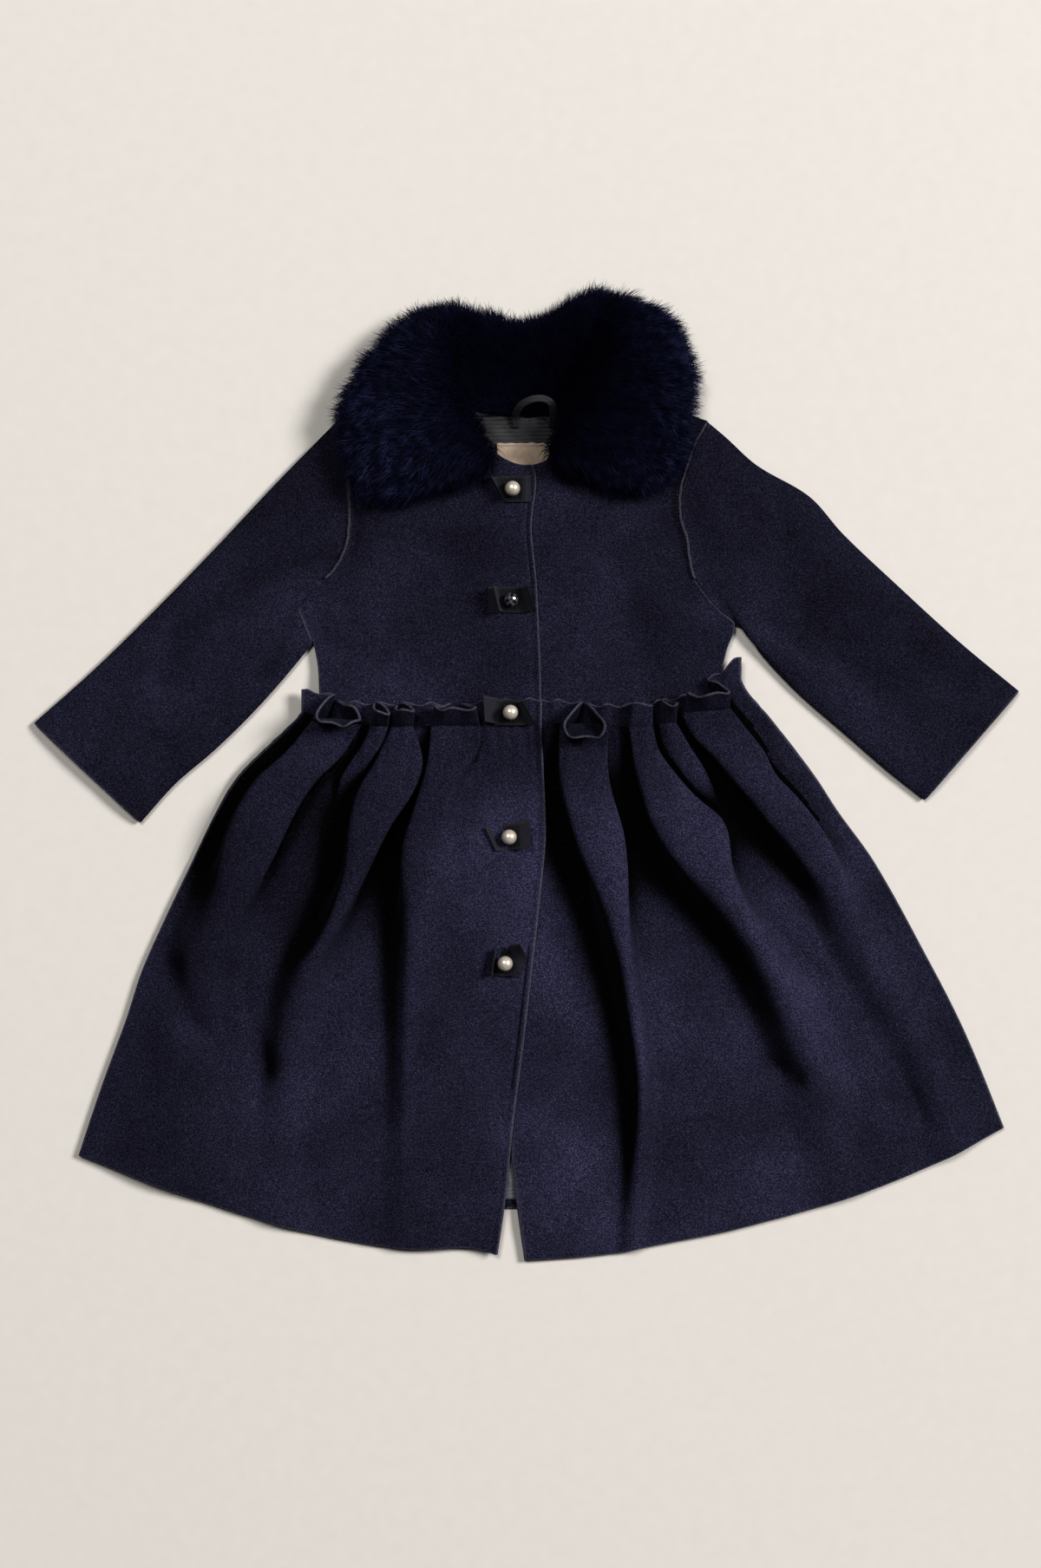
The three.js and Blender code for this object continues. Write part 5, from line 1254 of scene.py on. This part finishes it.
def pile_tree():
    """Locks of pile on a pelt: flat tapered blades that start upright and bend the way they are combed."""
    tree, given, result = group("Pile on a pelt", [
        ("Pelt", "shape"), ("Density", "number", 1.0), ("Length", "number", 0.013), ("Width", "number", 0.0006),
        ("Bend", "number", 0.6), ("Seed", "count", 1), ("Finish", "finish"),
    ], [("Pile", "shape")], "GeometryNodeTree")

    def chance(low, high, seed):
        """A random value for each lock. low and high are numbers or vectors."""
        first, kind = (2, "FLOAT") if isinstance(low, float) else (0, "FLOAT_VECTOR")
        inputs = {first: low, first + 1: high, "Seed": seed}
        return add(tree, "FunctionNodeRandomValue", inputs, data_type=kind).outputs[first // 2]

    spread = add(tree, "GeometryNodeDistributePointsOnFaces", {
        "Mesh": given["Pelt"], "Density": given["Density"], "Seed": given["Seed"]}).outputs
    blade = add(tree, "GeometryNodeMeshGrid", {"Size X": 1.0, "Size Y": 1.0, "Vertices X": 4, "Vertices Y": 2})
    place = add(tree, "ShaderNodeSeparateXYZ", {0: add(tree, "GeometryNodeInputPosition").outputs[0]}).outputs
    t = reckon(tree, "ADD", place["X"], 0.5)
    squared = times(tree, t, t)
    taper = reckon(tree, "SUBTRACT", 1.0, times(tree, reckon(tree, "POWER", t, 1.6), 0.92))
    forward = reckon(tree, "ADD", times(tree, t, 0.45), times(tree, squared, 0.75))
    upward = reckon(tree, "SUBTRACT", t, times(tree, squared, 0.42))
    shaped = vector(
        tree, times(tree, given["Bend"], forward, given["Length"]),
        times(tree, place["Y"], taper, given["Width"]), times(tree, upward, given["Length"]))
    bent = add(tree, "GeometryNodeSetPosition", {"Geometry": blade.outputs["Mesh"], "Position": shaped})
    lock = remembered(tree, bent.outputs[0], "lock_length", t, "POINT")

    tufts = add(tree, "ShaderNodeTexNoise", {"Scale": 105.0, "Detail": 2.0}).outputs
    gathered = scaled(tree, combined(tree, "SUBTRACT", tufts["Color"], (0.5, 0.5, 0.5)), 2.6)
    comb = add(tree, "GeometryNodeInputNamedAttribute", {"Name": "comb"}, data_type="FLOAT_VECTOR")
    stray = chance((-0.45, -0.45, -0.3), (0.45, 0.45, 0.3), 3)
    combed_to = combined(tree, "ADD", combined(tree, "ADD", comb.outputs["Attribute"], stray), gathered)
    upright = add(tree, "FunctionNodeAlignRotationToVector", {"Vector": spread["Normal"]}, axis="Z")
    leaning = add(tree, "FunctionNodeAlignRotationToVector", {
        "Rotation": upright.outputs[0], "Vector": combed_to}, axis="X", pivot_axis="Z")
    twist = add(tree, "FunctionNodeEulerToRotation", {0: chance((-0.25, -0.3, -0.5), (0.25, 0.35, 0.5), 4)})
    rotation = add(tree, "FunctionNodeRotateRotation", {
        "Rotation": leaning.outputs[0], "Rotate By": twist.outputs[0]}, rotation_space="LOCAL")
    length = times(tree, chance(0.7, 1.05, 5), ramp(tree, tufts["Fac"], 0.35, 0.65, 0.72, 1.15))
    locks = placed(tree, spread["Points"], lock, rotation.outputs[0], vector(tree, length, 1.0, length))
    locks = remembered(tree, locks, "lock_shade", chance(0.25, 1.0, 6), "INSTANCE")
    feed(tree, result, {"Pile": real_pieces(tree, locks, given["Finish"])})
    return tree


def grown(tree, source, name, values):
    """Runs a tree on a source object, and gives the result as a plain mesh object of its own."""
    modifier = source.modifiers.new("grow", "NODES")
    modifier.node_group = tree
    for item in tree.interface.items_tree:
        if item.in_out == "INPUT" and item.name in values:
            modifier[item.identifier] = values[item.name]
    bpy.context.view_layer.update()
    ready = source.evaluated_get(bpy.context.evaluated_depsgraph_get())
    mesh = bpy.data.meshes.new_from_object(ready)
    source.modifiers.remove(modifier)
    mesh.name = name
    piece = bpy.data.objects.new(name, mesh)
    bpy.context.collection.objects.link(piece)
    return piece


def rested(pile):
    """Turns the locks that would reach below the floor up along it."""
    points = np.empty(len(pile.data.vertices) * 3)
    pile.data.vertices.foreach_get("co", points)
    heights = points[2::3]
    heights[:] = np.where(heights < LOWEST_PILE, LOWEST_PILE + 0.12 * (LOWEST_PILE - heights), heights)
    pile.data.vertices.foreach_set("co", points)
    pile.data.update()
    return pile


def fur_collar():
    """The pelt in three pads, and the pile that stands on each."""
    flat_bottom = lambda x, y: 0 * x
    specs = (
        ("left", LEFT_LEAF, leaf_bottom, leaf_top, (-0.1, -0.35), 61),
        ("right", RIGHT_LEAF, leaf_bottom, leaf_top, (0.1, -0.35), 62),
        ("back", COLLAR_BACK, flat_bottom, back_top, (0.0, 0.5), 63),
    )
    tree = pile_tree()
    made = []
    for side, outline, bottom, top, bias, seed in specs:
        inset = (lambda y: lerp(-4, 7, smooth(284, 304, y))) if side == "back" else (lambda y: 7 + 0 * y)
        points, faces = pelt_pad(outline, bottom, top, inset, PILE / 2)
        pelt = finished(f"{side}_collar_pelt", points, faces, [UNDERFUR])
        combed(pelt, bias)
        area = sum(face.area for face in pelt.data.polygons)
        pile = grown(tree, pelt, f"{side}_collar_pile", {
            "Density": LOCKS / area, "Length": PILE * MM, "Width": 0.65 * MM, "Bend": 0.95, "Seed": seed,
            "Finish": FUR})
        made.append((pelt, rested(pile)))
    return made


# ---------------------------------------------------------------- neck, lining and label

def patch(name, left, right, top, bottom, level, wall, finish, columns, rows, lift=None):
    """A flat piece of thin cloth between two edges. lift gives its own small waves."""
    u, v = shares(columns)[None, :], shares(rows)[:, None]
    x = lerp(left, right, u) + 0 * v
    y = lerp(top(x), bottom, v)
    z = level + wall + (lift(x, y) if lift else 0 * x)
    return cloth_wall(name, np.stack([x, y, z], axis=2), wall, (finish,) * 3, straight_down=True)


def neck_lining():
    return patch("neck_lining_satin", -44, 44, lambda x: y_at(BACK_NECK, np.abs(x)) - 2, 222,
                 WOOL + SEAM_GAP, SATIN, NECK_SATIN, 60, 34, lambda x, y: 0.35 * (unevenness(x, y, 14, 71) + 1))


def neck_label():
    return patch("neck_label_cloth", -22, 22, lambda x: 250 + 0.5 * unevenness(x, 0 * x, 6, 72), 226,
                 WOOL + SEAM_GAP + SATIN + SEAM_GAP + 0.7, LABEL_CLOTH, LABEL, 46, 26,
                 lambda x, y: 0.3 * (unevenness(x, y, 20, 73) + 1))


def skirt_lining():
    return patch("skirt_lining_cloth", -40, 28, lambda x: -250 + 0 * x, -318,
                 WOOL + SEAM_GAP, GREY_CLOTH, GREY_LINING, 50, 50,
                 lambda x, y: 0.3 * (unevenness(x, y, 16, 74) + 1))


def strip(name, at, across, up, width, wall, finish, columns, scallop=0.0):
    """A band swept along a path of points, with its width along `across` at each point."""
    u = np.linspace(-1, 1, columns)[None, :, None]
    half = np.zeros(len(at)) + width / 2 + scallop
    grid = at[:, None, :] + across[:, None, :] * u * half[:, None, None] + up[:, None, :] * wall
    return cloth_wall(name, grid, wall, (finish,) * 3)


def smooth_path(knots, count):
    """Evenly spaced points on a smooth open curve through knots, with its unit tangents."""
    knots = np.array(knots, float)
    chord = np.concatenate([[0], np.cumsum(np.linalg.norm(np.diff(knots, axis=0), axis=1))])
    rows = dict(s=chord, **{k: knots[:, i] for i, k in enumerate("xyz")})
    fine = np.linspace(0, chord[-1], 20 * count)
    dense = np.stack([read(rows, "s", k, fine) for k in "xyz"], axis=1)
    length = np.concatenate([[0], np.cumsum(np.linalg.norm(np.diff(dense, axis=0), axis=1))])
    even = np.linspace(0, length[-1], count)
    points = np.stack([np.interp(even, length, dense[:, k]) for k in range(3)], axis=1)
    tangent = np.gradient(points, axis=0)
    return points, unit(tangent)


def hanging_loop():
    """A loop of folded ribbon sewn in at the back of the neck."""
    points, tangent = smooth_path([
        (-8, 262, 3.4), (-8.5, 270, 6), (-5, 277, 10.5), (3, 281.5, 13.3), (12, 282.5, 13.3), (18.5, 279, 12),
        (20, 271, 7), (19, 262, 3.4),
    ], 50)
    across = unit(np.stack([-tangent[:, 1], tangent[:, 0], 0 * tangent[:, 0]], axis=1))
    up = np.cross(across, tangent)
    up *= np.sign(up[:, 2:3])
    return strip("hanging_loop_ribbon", points, -across, up, 5, SATIN, NECK_SATIN, 6)


def armhole_seam(name, armhole, inward):
    """The seam's raised raw edge: a rounded ridge with a wavy cut top."""
    y = np.linspace(264, 148, 110)
    slope = (x_at(armhole, y - 1) - x_at(armhole, y + 1)) / 2
    x = x_at(armhole, y)
    run = unit(np.stack([slope, -np.ones_like(y)], axis=1))
    side = np.stack([-run[:, 1], run[:, 0]], axis=1)
    base = right_front_level(x + inward, y) + SEAM_GAP
    wave = 0.22 * unevenness(y, 0 * y, 7, 81)
    around = 12
    turn = np.linspace(0, 2 * np.pi, around, endpoint=False)[None, :]
    out = 1.15 * np.cos(turn) + wave[:, None]
    up = 0.85 + 0.95 * np.sin(turn) + 0.25 * wave[:, None] + 0 * out
    grid = np.stack([
        x[:, None] - side[:, :1] * out, y[:, None] - side[:, 1:] * out, base[:, None] + up], axis=2)
    index = np.arange(len(y) * around).reshape(-1, around)
    faces = quads(closed(index)) + [index[0].tolist(), index[-1][::-1].tolist()]
    piece = finished(name, grid.reshape(-1, 3), faces, [WOOL_CUT])
    # The ridge's lighter cut-edge colour is partly raw fibres and partly a painted highlight
    mark(piece, "cut_edge", np.ones(index.size) * 0.7)
    return piece


# ---------------------------------------------------------------- bows and buttons

def arm_path(arm, direction, steps=40):
    """An arm of a bow from under the ball outwards: its points, its width direction and its distance along."""
    s = np.linspace(0, arm["reach"], steps + 1)
    lift = np.radians(arm["lift"]) * smooth(arm["flat"], arm["flat"] + 4, s)
    yaw = np.radians(arm["turn"]) * smooth(0, arm["flat"], s)
    run = np.stack([direction * np.cos(lift) * np.cos(yaw), np.cos(lift) * np.sin(yaw), np.sin(lift)], axis=1)
    step = (run[1:] + run[:-1]) / 2 * arm["reach"] / steps
    at = np.concatenate([np.zeros((1, 3)), np.cumsum(step, axis=0)])
    cross = np.radians(arm["cross"]) * smooth(0, arm["flat"] + 3, s)
    roll = np.radians(arm["roll"]) * smooth(arm["flat"], arm["reach"], s)
    across = np.stack([-np.sin(cross) * np.cos(roll), np.cos(cross) * np.cos(roll), np.sin(roll)], axis=1)
    return at, across, direction * s


def ribbon(name, at, across, s, wall):
    """A length of grosgrain along a path, with picots along both selvedges."""
    run = np.gradient(at, axis=0)
    up = unit(np.cross(run, across))
    picots = 0.45 * np.maximum(0, np.sin(s * 2 * np.pi / 1.9))
    piece = strip(name, at, across, up, RIBBON_WIDTH - 0.8, wall, GROSGRAIN, RIBBON_COLUMNS, picots)
    size = 2 * len(s) * RIBBON_COLUMNS
    lengths, widths = np.zeros(len(piece.data.vertices)), np.ones(len(piece.data.vertices))
    lengths[:size] = np.tile(np.repeat(s, RIBBON_COLUMNS), 2)
    widths[:size] = np.tile(np.linspace(-1, 1, RIBBON_COLUMNS), 2 * len(s))
    mark(piece, "ribbon_length", lengths)
    mark(piece, "ribbon_width", widths)
    return piece


def bow(number, row, left, right, level):
    """A flat lower layer, and over it the ribbon whose two arms stand off the cloth."""
    base = np.array([row["x"], row["y"], level])
    s = np.linspace(-row["under_left"], row["under_right"], 60)
    flat = base + np.stack([s, 0 * s, 0 * s], axis=1)
    under = ribbon(f"bow_{number}_lower_ribbon", flat, np.tile([0, 1.0, 0], (60, 1)), s, RIBBON * 0.42)
    left_at, left_across, left_s = arm_path(left, -1)
    right_at, right_across, right_s = arm_path(right, 1)
    at = base + np.array([0, 0, RIBBON * 0.5]) + np.concatenate([left_at[:0:-1], right_at])
    across = np.concatenate([left_across[:0:-1], right_across])
    over = ribbon(f"bow_{number}_ribbon", at, across, np.concatenate([left_s[:0:-1], right_s]), RIBBON * 0.42)
    return under, over


def turned(name, profile, centre, finish, around=48):
    """A solid of revolution about the vertical, from a profile of (radius, height) from bottom to top."""
    turn = np.linspace(0, 2 * np.pi, around, endpoint=False)
    body = np.array(profile[1:-1], float)
    ring = np.stack([
        body[:, :1] * np.cos(turn) + centre[0], body[:, :1] * np.sin(turn) + centre[1],
        np.repeat(body[:, 1:], around, axis=1) + centre[2],
    ], axis=2)
    index = np.arange(len(body) * around).reshape(len(body), around)
    looped = closed(index)
    faces = [face[::-1] for face in quads(looped)]
    low, high = index.size, index.size + 1
    faces += [[low, b, a] for a, b in zip(looped[0, :-1], looped[0, 1:])]
    faces += [[high, a, b] for a, b in zip(looped[-1, :-1], looped[-1, 1:])]
    ends = np.array([[centre[0], centre[1], centre[2] + height] for height in (profile[0][1], profile[-1][1])])
    return finished(name, np.concatenate([ring.reshape(-1, 3), ends]), faces, [finish])


def ball_profile(radius):
    """A ball with a flattened foot and a fine ridge where its halves join."""
    angles = np.linspace(-math.asin(BALL_FOOT), math.pi / 2, 26)
    ridge = 1 + 0.012 * np.exp(-((angles / 0.05) ** 2))
    rows = [(radius * r * math.cos(a), radius * (r * math.sin(a) + BALL_FOOT)) for a, r in zip(angles, ridge)]
    return [(0, 0), *rows]


def stones(name, centre, radius):
    """Round faceted stones set over the upper part of a ball: one near the top and two rings round it."""
    points, faces = [], []
    for count, tilt, first, size in ((3, 27, 20, 1.75), (6, 66, 50, 1.5), (8, 103, 10, 1.2)):
        for k in range(count):
            turn, down = math.radians(first + 360 * k / count), math.radians(tilt)
            normal = Vector((math.sin(down) * math.cos(turn), math.sin(down) * math.sin(turn), math.cos(down)))
            side = normal.orthogonal().normalized()
            other = normal.cross(side)
            middle = Vector(centre) + normal * radius
            start = len(points)
            for wide, lift in ((1, -0.4), (1, 0.1), (0.82, 0.5), (0.45, 0.72)):
                for j in range(10):
                    spin = j * math.pi / 5
                    out = side * math.cos(spin) + other * math.sin(spin)
                    points.append(middle + normal * lift + out * size * wide)
            for ring in (0, 10, 20):
                for j in range(10):
                    a, b = start + ring + j, start + ring + (j + 1) % 10
                    faces.append([a, b, b + 10, a + 10])
            faces.append([start + 30 + j for j in range(10)])
    return finished(name, [tuple(p) for p in points], faces, [STONES], smooth_faces=False)


def bow_level(x, y):
    """Level of the left front under a bow."""
    seam = y_at(WAIST_SEAM, x)
    if y > seam + FRILL:
        return float(left_front_level(x, y))
    v = np.clip((seam - y) / (seam - y_at(LEFT_HEM, -40)), 0, 1)
    beside = stretches(LEFT_FOLDS, LEFT_ENDS)[-1]
    start, end = beside["start"]["x"](v), beside["end"]["x"](v)
    held = run_out(beside, (x - start) / (end - start), v) * (1 + FOLD_DEPTH * open_folds(v))
    return float(skirt_level(v) + lerp(WAIST_LAP_RISE, LAP_RISE, smooth(0, 0.12, v)) + held)


def bows_and_buttons():
    """The five bows and buttons from the collar down, each piece with its solid and its slot."""
    made = []
    for k in range(len(BOWS["x"])):
        row, left, right = (
            {key: float(column[k]) for key, column in rows.items()} for rows in (BOWS, LEFT_ARMS, RIGHT_ARMS))
        level = bow_level(row["x"], row["y"]) + SEAM_GAP
        made += [(piece, f"bow_{k + 1}", "ribbon") for piece in bow(k + 1, row, left, right, level)]
        centre = (row["x"], row["y"], level + RIBBON + SEAM_GAP)
        button = f"button_{k + 1}"
        if k == STONE_BALL:
            core = turned(f"{button}_core", ball_profile(STONE_BALL_RADIUS), centre, SETTING)
            middle = (centre[0], centre[1], centre[2] + BALL_FOOT * STONE_BALL_RADIUS)
            made.append((stones(f"{button}_stones", middle, STONE_BALL_RADIUS), button, "stone_ball"))
            made.append((core, button, "stone_ball"))
        else:
            made.append((turned(f"{button}_ball", ball_profile(BALL_RADIUS), centre, METAL), button, "metal"))
    return made


# ---------------------------------------------------------------- stitching

def stitch_tree():
    """Stitches along a path: short rounded threads, one after another with a gap between."""
    tree, given, result = group("Stitches on a path", [
        ("Path", "shape"), ("Pitch", "number", 0.003), ("Length", "number", 0.0022),
        ("Thickness", "number", 0.0004), ("Finish", "finish"),
    ], [("Stitches", "shape")], "GeometryNodeTree")
    path = add(tree, "GeometryNodeMeshToCurve", {0: given["Path"]}).outputs[0]
    even = add(tree, "GeometryNodeResampleCurve", {"Curve": path, "Length": given["Pitch"]}, mode="LENGTH")
    thread = add(tree, "GeometryNodeMeshUVSphere", {"Segments": 6, "Rings": 5, "Radius": 0.5}).outputs[0]
    size = vector(tree, given["Thickness"], given["Thickness"], given["Length"])
    long = add(tree, "GeometryNodeTransform", {"Geometry": thread, "Scale": size}).outputs[0]
    run = add(tree, "GeometryNodeInputTangent").outputs[0]
    lie = add(tree, "FunctionNodeAlignRotationToVector", {"Vector": run}, axis="Z").outputs[0]
    sewn = placed(tree, even.outputs[0], long, lie)
    feed(tree, result, {"Stitches": real_pieces(tree, sewn, given["Finish"])})
    return tree


def sewn_line(tree, name, x, y, z, pitch, length, thickness):
    """One run of stitching along a line of points in millimetres."""
    points = np.stack([x, y, z], axis=1)
    mesh = bpy.data.meshes.new(name + "_line")
    mesh.from_pydata((np.asarray(points) * MM).tolist(), [(i, i + 1) for i in range(len(points) - 1)], [])
    line = bpy.data.objects.new(name + "_line", mesh)
    bpy.context.collection.objects.link(line)
    piece = grown(tree, line, name, {
        "Pitch": pitch * MM, "Length": length * MM, "Thickness": thickness * MM, "Finish": THREAD})
    bpy.data.objects.remove(line)
    return piece


def stitching():
    """The stitches that show, each run with its slot."""
    tree = stitch_tree()
    made = []
    y = np.linspace(228, 58, 300)
    x = x_at(FRONT_EDGE, y) - 4.6
    z = left_front_look(x, y) + 0.1
    made.append((sewn_line(tree, "front_edge_stitches", x, y, z, 3.0, 2.4, 0.55), "wool"))
    for name, armhole, inward in (("left", LEFT_ARMHOLE, 1), ("right", RIGHT_ARMHOLE, -1)):
        y = np.linspace(262, 150, 160)
        x = x_at(armhole, y) + inward * 2.2
        z = (left_front_look if inward > 0 else right_front_look)(x, y) + 0.15
        made.append((sewn_line(tree, f"{name}_armhole_stitches", x, y, z, 2.6, 1.6, 0.5), "wool"))
    x = np.linspace(-21, 21, 60)
    z = np.full_like(x, WOOL + SEAM_GAP + SATIN + SEAM_GAP + 1.9)
    made.append((sewn_line(tree, "label_stitches", x, np.full_like(x, 248.2), z, 2.2, 1.5, 0.4), "label"))
    return made


# ---------------------------------------------------------------- the whole coat

def dress_coat():
    """Makes every piece, hangs it on the root body and hides the imported solids that the pieces stand for."""
    cloth = (
        (bodice_back(), "bodice_back", (0.31, 0.26), 0.068, "laid", ["skirt_back"]),
        (bodice_front_left(), "bodice_front_left", (0.18, 0.26), 0.036, "laid", ["bodice_back"]),
        (bodice_front_right(), "bodice_front_right", (0.17, 0.26), 0.0315, "laid", ["bodice_back"]),
        (sleeve("left_sleeve", LEFT_SLEEVE, LEFT_ARMHOLE, -1, 91),
         "sleeve_left", (0.34, 0.28), 0.056, "laid", []),
        (sleeve("right_sleeve", RIGHT_SLEEVE, RIGHT_ARMHOLE, 1, 95),
         "sleeve_right", (0.34, 0.28), 0.061, "laid", []),
        (skirt_back(), "skirt_back", (0.70, 0.40), 0.205, "laid", []),
        (skirt_front_left(),
         "skirt_front_left", (0.46, 0.42), 0.131, "gathered", ["bodice_front_left", "skirt_back"]),
        (skirt_front_right(),
         "skirt_front_right", (0.46, 0.42), 0.14, "gathered", ["bodice_front_right", "skirt_back"]),
    )
    for piece, node, flat, area, held, under in cloth:
        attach(piece, "root")
        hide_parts(node)

    thin = (
        (neck_lining(), "neck_lining", "satin", (0.088, 0.052), "bodice_back"),
        (neck_label(), "neck_label", "label", (0.044, 0.024), "neck_lining"),
        (skirt_lining(), "skirt_lining", "lining_grey", (0.068, 0.068), "skirt_back"),
    )
    for piece, node, slot, flat, under in thin:
        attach(piece, "root")
        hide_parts(node)

    for pelt, pile in fur_collar():
        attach(pelt, "root")
        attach(pile, "root")
        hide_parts("fur_collar")

    others = [
        (hanging_loop(), "hanging_loop", "satin"),
        (armhole_seam("left_armhole_ridge", LEFT_ARMHOLE, 1), "armhole_seam_left", "wool"),
        (armhole_seam("right_armhole_ridge", RIGHT_ARMHOLE, -1), "armhole_seam_right", "wool"),
        *bows_and_buttons(),
    ]
    for piece, node, slot in others:
        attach(piece, "root")
        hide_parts(node)
    for piece, slot in stitching():
        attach(piece, "root")


# ---------------------------------------------------------------- floor, light and camera

FRAME_WIDTH = 0.780  # metres of floor across the photograph
FRAME_CENTRE = (-0.0045, -0.0059)
CAMERA_HEIGHT = 2.2


def studio():
    """The floor, two soft lights and the camera straight above."""
    bpy.ops.mesh.primitive_plane_add(size=6, location=(0, 0, -0.0003))
    floor = bpy.context.object
    floor.name = "floor"
    floor.data.materials.append(floor_finish())

    def soft_light(name, place, size, power, colour=(1, 1, 1)):
        lamp = bpy.data.lights.new(name, "AREA")
        lamp.shape, lamp.size, lamp.energy, lamp.color = "DISK", size, power, colour
        light = bpy.data.objects.new(name, lamp)
        light.location = place
        light.rotation_euler = (Vector((0, 0, 0)) - Vector(place)).to_track_quat("-Z", "Y").to_euler()
        bpy.context.collection.objects.link(light)

    soft_light("window", (7.8, 2.8, 6.6), 3.6, 1120, (1.0, 0.985, 0.965))
    soft_light("overhead", (-2.0, 3.6, 8.0), 3.4, 400, (1.0, 0.985, 0.96))
    world = bpy.data.worlds.new("studio")
    world.use_nodes = True
    world.node_tree.nodes["Background"].inputs["Color"].default_value = (1.0, 0.98, 0.955, 1)
    world.node_tree.nodes["Background"].inputs["Strength"].default_value = 0.08
    bpy.context.scene.world = world
    bpy.context.scene.view_settings.view_transform = "Standard"
    bpy.context.scene.view_settings.look = "High Contrast"

    lens = bpy.data.cameras.new("camera")
    lens.sensor_fit = "HORIZONTAL"
    lens.sensor_width = 36
    lens.lens = 36 * CAMERA_HEIGHT / FRAME_WIDTH
    lens.clip_end = 20
    camera = bpy.data.objects.new("camera", lens)
    camera.location = (*FRAME_CENTRE, CAMERA_HEIGHT + 0.01)
    bpy.context.collection.objects.link(camera)
    bpy.context.scene.camera = camera


studio()
dress_coat()
